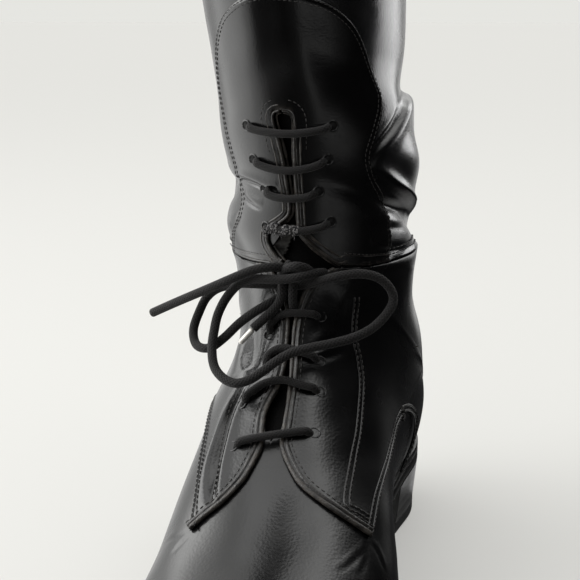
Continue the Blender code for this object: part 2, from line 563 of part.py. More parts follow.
def make_bow(material, metal, root):
    """Knot, dropped strands, loops, ends and the metal tip."""
    bm = bmesh.new()
    bmesh.ops.create_uvsphere(bm, u_segments=14, v_segments=8, radius=1.0)
    bmesh.ops.scale(bm, vec=KNOT_HALF, verts=bm.verts[:])
    knot = finish_mesh("lace_knot", bm, material, root)
    knot.location = (KNOT_CENTRE[0], -KNOT_CENTRE[1], KNOT_CENTRE[2])
    for name, route in ROUTES.items():
        radius = {"lace_knot_drop": DROP_RADIUS, "lace_tip": TIP_RADIUS}.get(name, LACE_RADIUS)
        stops = np.array(route) * (1.0, -1.0, 1.0)
        dense = smooth_rows(stops, np.linspace(0.0, len(stops) - 1.0, 40 * len(stops)))
        length = np.concatenate([[0.0], np.cumsum(np.linalg.norm(np.diff(dense, axis=0), axis=1))])
        count = max(2, round(length[-1] / (4.2 * radius)) + 1)
        even = np.linspace(0.0, length[-1], count)
        points = np.stack([np.interp(even, length, dense[:, k]) for k in range(3)], axis=-1)
        tube(name, points, radius, metal if name == "lace_tip" else material, root)


def stand_on_origin(root, items):
    """Move the root so that the footprint's middle and the floor meet the origin."""
    bpy.context.view_layer.update()
    graph = bpy.context.evaluated_depsgraph_get()
    corners = []
    for item in items:
        solid = item.evaluated_get(graph)
        mesh = solid.to_mesh()
        points = np.empty(len(mesh.vertices) * 3, dtype=np.float32)
        mesh.vertices.foreach_get("co", points)
        points = points.reshape(-1, 3) @ np.array(solid.matrix_world.to_3x3()).T
        corners += [points.min(axis=0), points.max(axis=0)]
        solid.to_mesh_clear()
    low = np.min(corners, axis=0)
    high = np.max(corners, axis=0)
    root.location = (-(low[0] + high[0]) / 2.0, -(low[1] + high[1]) / 2.0, -low[2])


def main():
    """Build every piece of the boot."""
    for item in list(bpy.data.objects):
        bpy.data.objects.remove(item, do_unlink=True)
    root = bpy.data.objects.new("boot_frame", None)
    root.rotation_euler = (0.0, 0.0, AXIS_TURN)
    bpy.context.collection.objects.link(root)
    black = leather("black_leather", (0.012, 0.012, 0.014), 0.28)
    facing = leather("facing_leather", (0.014, 0.014, 0.015), 0.34)
    lining = leather("tongue_leather", (0.015, 0.014, 0.014), 0.50)
    sole = leather("sole_edge", (0.018, 0.017, 0.017), 0.40)
    rubber = leather("heel_rubber", (0.020, 0.020, 0.020), 0.70)
    inner = leather("insole_leather", (0.26, 0.17, 0.10), 0.60)
    cord = leather("lace_cord", (0.030, 0.027, 0.027), 0.85)
    metal = leather("lace_tip_metal", (0.62, 0.61, 0.58), 0.35, 1.0)
    body = [make_upper(black, root), make_shaft(black, root), make_tongue(lining, root)]
    body += [make_facing(name, facing, root) for name in FACING_EDGES]
    body += [make_panel(facing, root), make_sole(sole, root), make_insole(inner, root)]
    body += make_heel(sole, rubber, root)
    body += make_bars(cord, root)
    make_bow(cord, metal, root)
    stand_on_origin(root, body)


main()
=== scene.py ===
"""Looks of the tall riding boot: polished black leather, worn facings, round lace tied in a bow.

The boot is drafted in its own frame: medial side toward +X, toe toward -Y, floor at z = 0, heel back at y = 0.
Every leather surface is one function of a section (toe tip to collar) and a side (-1 lateral edge, 0 crest,
+1 medial edge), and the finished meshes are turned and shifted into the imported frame.
"""

from __future__ import annotations

import json
import logging
import math
from dataclasses import dataclass, field
from enum import Enum
from functools import cached_property

import bpy
import numpy as np
from mathutils import Matrix, Vector

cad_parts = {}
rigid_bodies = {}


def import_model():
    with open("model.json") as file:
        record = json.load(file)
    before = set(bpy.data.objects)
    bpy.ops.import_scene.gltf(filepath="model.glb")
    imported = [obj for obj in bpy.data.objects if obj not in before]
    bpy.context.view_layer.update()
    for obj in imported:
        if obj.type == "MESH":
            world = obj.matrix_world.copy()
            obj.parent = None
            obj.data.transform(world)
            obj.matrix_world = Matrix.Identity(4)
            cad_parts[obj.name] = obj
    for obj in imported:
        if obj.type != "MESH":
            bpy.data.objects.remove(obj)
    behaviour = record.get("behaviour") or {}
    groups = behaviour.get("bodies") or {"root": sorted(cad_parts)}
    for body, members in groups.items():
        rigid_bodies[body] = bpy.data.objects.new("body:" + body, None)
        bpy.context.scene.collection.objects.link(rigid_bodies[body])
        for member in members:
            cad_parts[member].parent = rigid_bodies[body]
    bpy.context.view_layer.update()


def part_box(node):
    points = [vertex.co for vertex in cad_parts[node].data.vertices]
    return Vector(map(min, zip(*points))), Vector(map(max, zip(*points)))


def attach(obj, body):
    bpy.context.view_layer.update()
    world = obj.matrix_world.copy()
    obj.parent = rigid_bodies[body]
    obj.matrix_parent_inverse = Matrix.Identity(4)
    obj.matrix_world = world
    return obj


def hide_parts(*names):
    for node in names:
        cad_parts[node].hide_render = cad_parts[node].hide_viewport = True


LOG = logging.getLogger("riding_boot")
PHOTO_SIDE = 580              # pixels along each side of the picture
Array = np.ndarray
Pairs = tuple[tuple[float, float], ...]
Triple = tuple[float, float, float]
Socket = bpy.types.NodeSocket


class Side(Enum):
    """Side of the boot, by its sign on the surface."""

    LATERAL = -1.0
    MEDIAL = 1.0


class CreaseKind(Enum):
    """Profile of a crease across its line."""

    TROUGH = "trough"
    LIP = "lip"
    RIDGE = "ridge"


@dataclass(frozen=True)
class Crease:
    """Line of worn leather and the profile across it."""

    stops: Pairs
    half_width: float
    height: float
    kind: CreaseKind = CreaseKind.TROUGH

    def profile(self, signed: Array) -> Array:
        """Height over the leather at a distance to the left of the line.

        A trough is a bell curve downward with a flatter bell on its left, a lip steps up across the line by a
        hyperbolic tangent and dies off as a bell, and a ridge falls off both ways from a rounded crest.

        Args:
            signed: distance from the line, left of its run positive.

        Returns:
            Height in metres.
        """
        share = signed / self.half_width
        if self.kind is CreaseKind.TROUGH:
            return self.height * (0.7 * np.exp(-((share - 2.0) / 1.6) ** 2) - np.exp(-share ** 2))
        if self.kind is CreaseKind.LIP:
            return self.height * np.tanh(6.0 * share) * np.exp(-share ** 2)
        return self.height * np.exp(0.5 - 0.5 * np.sqrt(1.0 + (4.0 * share) ** 2))


# Sections in thousandths: lengths of the last, heights of the shaft, widths of the ball.
SECTION_COLUMNS = ("edge_along", "edge_height", "crest_along", "crest_height", "half_width",
                   "edge_half_width", "edge_centre", "crest_centre", "edge_taper", "crest_taper")
SECTIONS = {
    "toe_tip": (1000.0, 40.3, 1000.0, 40.9, 0.0, 0.0, 199.6, 199.6, 0, -0.1),
    "toe_end": (991.8, 39.2, 993.6, 63.6, 126.0, 123.0, 197.6, 197.6, 0, -0.1),
    "toe_front": (964.2, 35.6, 955.3, 83.7, 247.0, 240.9, 190.5, 193.5, 0, -0.1),
    "toe_box": (912.3, 28.8, 899.8, 98.5, 359.9, 352.8, 177.4, 185.5, 0, -0.08),
    "toe_back": (837.2, 21.6, 830.1, 109.1, 445.6, 437.5, 157.3, 171.4, 0, -0.04),
    "ball": (744.2, 18.6, 753.1, 120.8, 496.0, 483.9, 143.0, 150.2, 0, 0),
    "vamp": (644.0, 19.5, 678.0, 138.8, 500.0, 473.8, 132.0, 112.9, 0, 0.04),
    "vamp_point": (536.7, 28.2, 613.6, 163.1, 469.8, 408.3, 88.0, 68.5, 0, 0.08),
    "waist": (429.3, 43.0, 558.1, 190.7, 431.5, 344.8, 38.0, 40.3, 0, 0.1),
    "arch": (329.2, 58.9, 511.6, 218.2, 411.3, 326.6, 6.0, 22.2, 0, 0.1),
    "heel_breast": (236.1, 71.0, 477.6, 242.6, 403.2, 338.7, 4.0, 12.1, 0, 0.1),
    "heel_seat": (143.1, 77.5, 456.2, 262.7, 407.3, 352.8, 6.0, 10.1, 0, 0.08),
    "heel_side": (68.0, 78.8, 445.4, 278.6, 407.3, 296.4, 5.0, 10.1, 0, 0.06),
    "heel_round": (25.0, 79.0, 440.1, 291.3, 405.2, 179.4, 3.0, 10.1, 0, 0.04),
    "heel_back": (10.7, 79.0, 437.2, 303.0, 405.2, 0.0, 0.0, 8.1, 0, 0.03),
    "counter": (3.6, 110.2, 434.7, 316.7, 403.2, 0.0, 0.0, 4.0, -0.06, 0.02),
    "counter_top": (17.9, 165.3, 432.9, 335.8, 399.2, 0.0, -8.1, -4.0, -0.06, 0),
    "heel_cord": (46.5, 228.8, 432.9, 359.1, 397.2, 0.0, -18.1, -14.1, -0.04, 0),
    "ankle": (68.0, 296.6, 434.7, 388.8, 397.2, 0.0, -34.3, -30.2, 0, 0),
    "shaft_low": (76.9, 370.8, 438.3, 431.1, 401.2, 0.0, -58.5, -54.4, 0, 0),
    "shaft_mid": (68.0, 455.5, 443.6, 490.5, 415.3, 0.0, -92.7, -90.7, 0, 0),
    "calf_foot": (42.9, 550.8, 454.4, 568.9, 447.6, 0.0, -131.0, -129.0, 0, 0),
    "calf_low": (17.9, 652.5, 465.1, 661.0, 494.0, 0.0, -156.2, -156.2, 0, 0),
    "calf": (3.6, 762.7, 475.8, 764.8, 536.3, 0.0, -171.4, -171.4, 0, 0),
    "calf_high": (3.6, 872.9, 483.0, 877.1, 559.5, 0.0, -181.5, -181.5, 0, 0),
    "collar": (10.7, 974.6, 486.6, 1000.0, 566.5, 0.0, -186.5, -186.5, 0, 0),
}
SECTION_NAMES = tuple(SECTIONS)
ARCH = float(SECTION_NAMES.index("arch"))
HEEL_BREAST = float(SECTION_NAMES.index("heel_breast"))
HEEL_BACK = float(SECTION_NAMES.index("heel_back"))
COLLAR = float(SECTION_NAMES.index("collar"))

# Main folds of the worn ankle: side, height, tilt in degrees, half length, half width, depth outward.
FOLD_COLUMNS = ("side", "height", "tilt", "half_length", "half_width", "depth")
FOLDS = {
    "lateral_pinch": (-0.44, 0.1680, 8.0, 0.040, 0.0070, -0.0026),
    "lateral_bulge": (-0.46, 0.1500, 4.0, 0.040, 0.0115, 0.0046),
    "lateral_upper": (-0.44, 0.1900, 10.0, 0.036, 0.0120, 0.0012),
    "medial_bulge": (0.53, 0.1800, -20.0, 0.034, 0.0135, 0.0050),
    "medial_crease": (0.46, 0.1575, -26.0, 0.032, 0.0045, -0.0028),
    "medial_second": (0.54, 0.1480, -18.0, 0.030, 0.0060, -0.0004),
    "medial_seam": (0.56, 0.1385, 0.0, 0.040, 0.0050, 0.0016),
    "medial_hollow": (0.56, 0.1160, 0.0, 0.045, 0.0140, -0.0026),
    "medial_top": (0.58, 0.2010, -8.0, 0.030, 0.0100, 0.0030),
    "medial_shin": (0.50, 0.2160, -12.0, 0.045, 0.0110, -0.0020),
    "lateral_instep": (-0.50, 0.0970, 0.0, 0.050, 0.0160, -0.0022),
    "medial_counter": (0.74, 0.0660, 0.0, 0.040, 0.0200, 0.0014),
    "shin_lateral": (-0.055, 0.2400, 84.0, 0.034, 0.0065, 0.0008),
    "shin_medial": (0.075, 0.2380, 98.0, 0.034, 0.0065, 0.0008),
}

# Fine lines of worn leather, as (section, side) stops from the lateral to the medial end.
CREASES = {
    "medial_lip": Crease(((18.24, 0.262), (18.52, 0.292), (18.83, 0.341), (19.17, 0.416), (19.44, 0.480),
                          (19.64, 0.570), (19.72, 0.700), (19.60, 0.860)), 0.0060, -0.0020, CreaseKind.LIP),
    "medial_smile": Crease(((18.58, 0.288), (18.82, 0.324), (19.10, 0.384), (19.36, 0.430)), 0.0012, 0.0008),
    "medial_ridge": Crease(((18.27, 0.270), (18.22, 0.323), (18.13, 0.386), (18.10, 0.485), (18.06, 0.620)),
                           0.0030, 0.0012, CreaseKind.RIDGE),
    "medial_undercut": Crease(((18.20, 0.268), (18.14, 0.323), (18.05, 0.386), (18.02, 0.485), (17.98, 0.640)),
                              0.0050, 0.0018, CreaseKind.LIP),
    "medial_low": Crease(((17.63, 0.278), (17.63, 0.341), (17.76, 0.425), (17.91, 0.527)), 0.0017, 0.0010),
    "medial_lower": Crease(((16.78, 0.230), (16.88, 0.287), (17.16, 0.368), (17.78, 0.566)), 0.0016, 0.0005),
    "medial_hem": Crease(((15.86, 0.242), (16.30, 0.314), (16.70, 0.392), (17.20, 0.503)), 0.0018, 0.0008),
    "medial_hem_low": Crease(((16.11, 0.323), (16.47, 0.380), (16.92, 0.452)), 0.0014, 0.0006),
    "lateral_fold": Crease(((17.94, -0.310), (17.74, -0.205), (17.51, -0.130), (17.34, -0.088), (17.29, -0.037)),
                           0.0011, 0.0009),
    "lateral_fold_low": Crease(((17.26, -0.199), (16.94, -0.148), (16.70, -0.103)), 0.0012, 0.0006),
    "lateral_corner": Crease(((17.79, -0.322), (17.72, -0.268), (17.44, -0.208)), 0.0020, 0.0006, CreaseKind.RIDGE),
    "lateral_hem": Crease(((16.78, -0.307), (16.63, -0.238), (16.86, -0.199)), 0.0016, 0.0006),
    "lateral_outer": Crease(((18.65, -0.500), (18.24, -0.400), (17.85, -0.300), (17.66, -0.220)), 0.0018, 0.0009),
    "lateral_outer_low": Crease(((18.32, -0.550), (17.95, -0.450), (17.59, -0.340)), 0.0020, 0.0008),
    "back_upper": Crease(((18.53, -1.000), (18.54, -0.920), (18.61, -0.800)), 0.0030, 0.0012),
    "back_lower": Crease(((18.00, -1.000), (18.00, -0.860), (18.00, -0.720)), 0.0030, 0.0012),
    "back_medial": Crease(((18.13, 0.680), (18.14, 0.820), (18.12, 1.000)), 0.0030, 0.0012),
    "back_medial_up": Crease(((18.68, 0.700), (18.68, 0.850), (18.64, 1.000)), 0.0032, 0.0010),
    "vamp_medial_toe": Crease(((5.33, 0.353), (5.61, 0.392), (5.99, 0.434), (6.34, 0.464)), 0.0009, 0.0002),
    "vamp_medial_mid": Crease(((5.55, 0.449), (5.91, 0.461), (6.20, 0.458)), 0.0009, 0.0002),
    "vamp_medial_low": Crease(((6.38, 0.476), (6.30, 0.521), (6.14, 0.572)), 0.0010, 0.0003),
    "vamp_lateral": Crease(((5.81, -0.514), (5.69, -0.409), (5.62, -0.343)), 0.0012, 0.0002),
    "vamp_lateral_toe": Crease(((5.29, -0.418), (5.44, -0.367), (5.57, -0.331)), 0.0012, 0.0002),
    "instep_upper": Crease(((9.74, 0.125), (10.06, 0.176), (10.61, 0.230)), 0.0016, 0.0004),
    "instep_lower": Crease(((9.50, 0.146), (9.78, 0.209), (10.21, 0.275)), 0.0016, 0.0004),
    "facing_groove": Crease(((6.00, -0.224), (6.18, -0.223), (6.70, -0.220), (7.32, -0.205), (8.03, -0.196),
                             (8.75, -0.160)), 0.0018, 0.0020),
    "facing_ridge_outer": Crease(((5.92, -0.290), (6.46, -0.278), (6.97, -0.259), (7.47, -0.238), (8.14, -0.222),
                                  (8.90, -0.185)), 0.0042, 0.0016, CreaseKind.RIDGE),
    "facing_ridge_inner": Crease(((6.10, -0.200), (6.67, -0.190), (7.20, -0.184), (7.74, -0.184), (8.30, -0.166),
                                  (8.80, -0.120)), 0.0040, 0.0015, CreaseKind.RIDGE),
    "facing_fold": Crease(((9.10, -0.165), (9.60, -0.175), (10.10, -0.192), (10.80, -0.220)), 0.0044, 0.0015),
}


@dataclass(frozen=True)
class Stitch:
    """Distance from stitch to stitch, and the length and width of the thread that shows."""

    pitch: float
    length: float
    width: float


WELT_STITCH = Stitch(0.0034, 0.0027, 0.0007)
COLLAR_STITCH = Stitch(0.0034, 0.0026, 0.0006)
HEM_STITCH = Stitch(0.0030, 0.0023, 0.0006)
EDGE_STITCH = Stitch(0.0025, 0.0019, 0.00042)
DOUBLE_STITCH = Stitch(0.0024, 0.0019, 0.00045)
PANEL_STITCH = Stitch(0.0021, 0.0016, 0.00034)

# Half gaps of the throat and of the leg's slit, by section, as side values.
THROAT_GAP: Pairs = ((7.42, 0.0), (7.56, 0.032), (7.9, 0.042), (8.6, 0.042), (9.0, 0.042), (11.0, 0.040),
                     (12.5, 0.050), (14.5, 0.090), (16.0, 0.125), (17.0, 0.150))
LEG_GAP: Pairs = ((13.6, 0.150), (14.2, 0.115), (14.8, 0.075), (15.4, 0.045), (16.0, 0.030), (16.6, 0.026),
                  (17.8, 0.026), (18.4, 0.038), (18.7, 0.046), (18.92, 0.050), (19.02, 0.046), (19.12, 0.0))

# Edges of the overlays as (section, side).
FACING_FRONT = {
    Side.MEDIAL: ((7.36, 0.047), (7.16, 0.062), (6.90, 0.092), (6.65, 0.134), (6.49, 0.197), (6.41, 0.284),
                  (6.40, 0.377), (6.46, 0.470)),
    Side.LATERAL: ((7.22, -0.036), (7.02, -0.049), (6.75, -0.070), (6.51, -0.097), (6.22, -0.148), (6.02, -0.199),
                   (5.86, -0.256), (5.66, -0.335)),
}
FACING_SLIT = {
    Side.MEDIAL: ((7.36, 0.047), (7.70, 0.051), (8.26, 0.053), (8.74, 0.051), (9.39, 0.044), (10.15, 0.036),
                  (10.78, 0.036), (11.50, 0.044), (12.40, 0.062), (13.30, 0.084), (14.40, 0.130)),
    Side.LATERAL: ((7.22, -0.036), (7.55, -0.041), (7.89, -0.044), (8.20, -0.032), (8.46, -0.012), (8.88, 0.006),
                   (9.39, 0.010), (10.15, 0.004), (10.78, -0.008), (11.50, -0.030), (12.40, -0.062), (13.30, -0.084),
                   (14.40, -0.130)),
}
FACING_OUTER = {
    Side.MEDIAL: ((6.46, 0.470), (7.20, 0.492), (7.76, 0.526), (8.37, 0.567), (8.98, 0.600), (9.62, 0.622),
                  (10.40, 0.668), (11.50, 0.660), (13.00, 0.630), (15.00, 0.600), (16.80, 0.580)),
    Side.LATERAL: ((5.66, -0.335), (6.30, -0.328), (6.86, -0.334), (7.83, -0.374), (8.73, -0.448), (9.50, -0.560),
                   (10.40, -0.655), (11.50, -0.660), (13.00, -0.630), (15.00, -0.600), (16.80, -0.580)),
}
FACING_SEAM = {
    Side.MEDIAL: ((6.70, 0.440), (6.66, 0.385), (6.64, 0.334), (6.96, 0.328), (7.42, 0.338), (7.88, 0.350),
                  (8.37, 0.362), (9.10, 0.365), (9.66, 0.362), (10.22, 0.344), (10.67, 0.320), (11.64, 0.278),
                  (13.07, 0.227)),
    Side.LATERAL: ((6.02, -0.217), (6.40, -0.212), (6.80, -0.208), (7.43, -0.202), (8.11, -0.196), (8.60, -0.170)),
}
OUTER_SEAM_STOPS = 7          # stops of the outer edge that the double seam follows
OUTER_PEAK: Pairs = ((10.06, 0.640), (10.36, 0.680), (10.51, 0.720), (10.54, 0.758), (10.44, 0.808), (10.28, 0.855),
                     (10.02, 0.900), (9.72, 0.950))
PANEL_SLIT = {
    Side.MEDIAL: ((14.70, 0.150), (14.86, 0.107), (15.26, 0.058), (15.74, 0.028), (16.20, 0.025), (16.82, 0.026),
                  (17.61, 0.028), (18.13, 0.033), (18.50, 0.039), (18.78, 0.045), (18.96, 0.046), (19.04, 0.034),
                  (19.06, 0.008)),
    Side.LATERAL: ((13.70, -0.028), (14.46, -0.058), (15.27, -0.085), (15.80, -0.084), (16.10, -0.040),
                   (16.40, -0.010), (16.81, -0.002), (17.59, -0.006), (18.11, -0.008), (18.54, -0.015),
                   (18.78, -0.021), (18.95, -0.024), (19.04, -0.015), (19.06, 0.008)),
}
PANEL_OUTER = {
    Side.MEDIAL: ((16.00, 0.322), (16.71, 0.341), (17.21, 0.350), (17.71, 0.344), (18.03, 0.300), (18.30, 0.277),
                  (18.58, 0.280), (18.94, 0.306), (19.32, 0.338), (19.57, 0.346), (19.91, 0.318), (20.22, 0.272),
                  (20.40, 0.216), (20.50, 0.150), (20.54, 0.070), (20.55, 0.0)),
    Side.LATERAL: ((16.10, -0.330), (16.27, -0.282), (16.70, -0.243), (16.91, -0.222), (17.23, -0.216),
                   (17.74, -0.236), (18.05, -0.236), (18.50, -0.241), (18.86, -0.252), (19.49, -0.268),
                   (19.96, -0.234), (20.27, -0.178), (20.43, -0.110), (20.52, -0.045), (20.55, 0.0)),
}
HEM_LIFT: Pairs = ((0.0, 0.0), (0.09, 0.0058), (0.164, 0.0034), (0.236, 0.0014), (0.33, 0.0))
TONGUE_WIDTH: Pairs = ((7.2, 0.16), (9.0, 0.20), (11.0, 0.24), (13.0, 0.28), (15.0, 0.27), (17.0, 0.22), (19.6, 0.20))

# Lace bars: (section, side) stops from the lateral eyelet to the medial one.
BARS: dict[str, Pairs] = {
    "lace_bar_leg_1": ((18.83, -0.118), (18.72, -0.050), (18.68, 0.023), (18.75, 0.095), (18.88, 0.158)),
    "lace_bar_leg_2": ((18.14, -0.112), (17.94, -0.052), (17.87, 0.011), (17.98, 0.075), (18.21, 0.134)),
    "lace_bar_leg_3": ((17.32, -0.091), (17.10, -0.045), (17.04, 0.005), (17.12, 0.052), (17.34, 0.095)),
    "lace_bar_leg_4": ((16.00, -0.085), (15.86, -0.030), (15.85, 0.029), (16.07, 0.080), (16.41, 0.122)),
    "lace_bar_foot_1": ((10.05, -0.086), (10.40, -0.066), (10.74, -0.022), (10.90, 0.062), (11.02, 0.143)),
    "lace_bar_foot_2": ((8.98, -0.070), (9.36, -0.054), (9.56, -0.001), (9.53, 0.080), (9.50, 0.164)),
    "lace_bar_foot_3": ((8.20, -0.152), (8.43, -0.100), (8.60, -0.049), (8.70, 0.023), (8.67, 0.104), (8.71, 0.179)),
    "lace_bar_foot_4": ((7.22, -0.150), (7.30, -0.082), (7.41, 0.002), (7.55, 0.080), (7.74, 0.170)),
}

# Bow routes: (medial, along from the heel back, height) in metres.
LONG_LOOP = (
    (0.0130, 0.1205, 0.1395), (0.0126, 0.1245, 0.1402), (0.0112, 0.1288, 0.1407), (0.0088, 0.1322, 0.1405),
    (0.0054, 0.1340, 0.1397), (0.0013, 0.1346, 0.1390), (-0.0033, 0.1346, 0.1385), (-0.0085, 0.1343, 0.1383),
    (-0.0139, 0.1337, 0.1375), (-0.0197, 0.1333, 0.1348),
    (-0.0247, 0.1339, 0.1291), (-0.0275, 0.1364, 0.1226), (-0.0277, 0.1404, 0.1167), (-0.0267, 0.1456, 0.1105),
    (-0.0236, 0.1510, 0.1048), (-0.0182, 0.1551, 0.1017), (-0.0120, 0.1571, 0.1008), (-0.0066, 0.1560, 0.1025),
    (-0.0018, 0.1534, 0.1058), (0.0033, 0.1503, 0.1098), (0.0088, 0.1473, 0.1128), (0.0158, 0.1442, 0.1146),
    (0.0232, 0.1406, 0.1160), (0.0306, 0.1357, 0.1178), (0.0366, 0.1300, 0.1208), (0.0408, 0.1242, 0.1256),
    (0.0424, 0.1208, 0.1305), (0.0406, 0.1207, 0.1354), (0.0363, 0.1225, 0.1395), (0.0301, 0.1254, 0.1413),
    (0.0239, 0.1277, 0.1408), (0.0192, 0.1287, 0.1397), (0.0142, 0.1287, 0.1379), (0.0092, 0.1276, 0.1361),
    (0.0048, 0.1261, 0.1348), (0.0010, 0.1248, 0.1340))
SHORT_LOOP = (
    (-0.0004, 0.1256, 0.1341), (-0.0043, 0.1270, 0.1344), (-0.0098, 0.1283, 0.1345), (-0.0155, 0.1283, 0.1343),
    (-0.0219, 0.1275, 0.1336), (-0.0316, 0.1254, 0.1305),
    (-0.0371, 0.1252, 0.1262), (-0.0397, 0.1271, 0.1206), (-0.0408, 0.1314, 0.1140), (-0.0390, 0.1350, 0.1095),
    (-0.0350, 0.1385, 0.1080), (-0.0295, 0.1400, 0.1090), (-0.0238, 0.1388, 0.1135), (-0.0184, 0.1361, 0.1192),
    (-0.0124, 0.1342, 0.1240), (-0.0070, 0.1312, 0.1274), (-0.0034, 0.1276, 0.1294), (-0.0006, 0.1252, 0.1302))
PLAIN_END = (
    (0.0011, 0.1275, 0.1408), (-0.0021, 0.1305, 0.1426), (-0.0064, 0.1337, 0.1431), (-0.0127, 0.1358, 0.1418),
    (-0.0194, 0.1369, 0.1389), (-0.0269, 0.1364, 0.1352), (-0.0350, 0.1348, 0.1312), (-0.0435, 0.1324, 0.1270),
    (-0.0524, 0.1296, 0.1225), (-0.0630, 0.1263, 0.1170))
TIPPED_END = (
    (0.0001, 0.1250, 0.1436), (-0.0011, 0.1271, 0.1414), (-0.0015, 0.1291, 0.1384), (-0.0017, 0.1303, 0.1347),
    (-0.0017, 0.1309, 0.1310), (-0.0032, 0.1321, 0.1272), (-0.0068, 0.1345, 0.1230), (-0.0098, 0.1370, 0.1199),
    (-0.0114, 0.1385, 0.1182))
TIP_END = (-0.0165, 0.1411, 0.1121)
KNOT_WRAP = (
    (-0.0033, 0.1272, 0.1384), (-0.0013, 0.1298, 0.1412), (0.0022, 0.1322, 0.1434), (0.0057, 0.1324, 0.1441),
    (0.0084, 0.1302, 0.1429), (0.0096, 0.1266, 0.1405))
KNOT_DROP = (
    (0.0030, 0.1268, 0.1416), (0.0031, 0.1290, 0.1388), (0.0029, 0.1303, 0.1349), (0.0028, 0.1304, 0.1308),
    (0.0027, 0.1295, 0.1271), (0.0022, 0.1268, 0.1236))


def smooth_rows(table: Array, place: Array) -> Array:
    """Read a table at fractional rows along a cubic through its rows (each slope is half the step across a row).

    Args:
        table: rows of values.
        place: fractional row numbers.

    Returns:
        One row of values per place.
    """
    table = np.asarray(table, dtype=float)
    place = np.clip(np.asarray(place, dtype=float), 0.0, len(table) - 1.0)
    row = np.minimum(place.astype(int), len(table) - 2)
    part = (place - row)[..., None]
    padded = np.vstack([2.0 * table[0] - table[1], table, 2.0 * table[-1] - table[-2]])
    before, start, end, after = (padded[row + step] for step in range(4))
    square = 2.0 * before - 5.0 * start + 4.0 * end - after
    cube = 3.0 * start - before - 3.0 * end + after
    return 0.5 * (2.0 * start + (end - before) * part + square * part ** 2 + cube * part ** 3)


def ease(share: Array) -> Array:
    """Smooth step from 0 to 1 with level ends."""
    share = np.clip(share, 0.0, 1.0)
    return share * share * (3.0 - 2.0 * share)


def reach_along(points: Array) -> Array:
    """Distance along a polyline at each of its points."""
    return np.concatenate([[0.0], np.cumsum(np.linalg.norm(np.diff(points, axis=0), axis=1))])


def read_at(target: Array, reach: Array, rows: Array) -> Array:
    """Rows of values along a line, read at some distances along it."""
    return np.stack([np.interp(target, reach, rows[:, k]) for k in range(rows.shape[1])], axis=-1)


def even_path(points: Array, count: int) -> Array:
    """Resample a polyline at even arc lengths.

    Args:
        points: points along the line.
        count: number of points wanted.

    Returns:
        Evenly spaced points.
    """
    reach = reach_along(points)
    return read_at(np.linspace(0.0, reach[-1], count), reach, points)


def path_length(points: Array) -> float:
    """Length of a polyline."""
    return float(np.linalg.norm(np.diff(points, axis=0), axis=1).sum())


def softened(line: Array, count: int) -> Array:
    """Resample a (section, side) line and round its corners by a moving mean of nine points.

    Args:
        line: (section, side) points.
        count: number of points wanted.

    Returns:
        Softened (section, side) points.
    """
    line = smooth_rows(line, np.linspace(0.0, len(line) - 1.0, count))
    padded = np.pad(line, ((4, 4), (0, 0)), mode="edge")
    return np.mean([padded[k:k + count] for k in range(9)], axis=0)


def unit(vectors: Array) -> Array:
    """Vectors at length one."""
    return vectors / np.maximum(np.linalg.norm(vectors, axis=-1, keepdims=True), 1e-12)


def alike(section: Array, side: Array) -> tuple[Array, Array]:
    """Section and side values as arrays of one shape."""
    return np.broadcast_arrays(np.asarray(section, dtype=float), np.asarray(side, dtype=float))


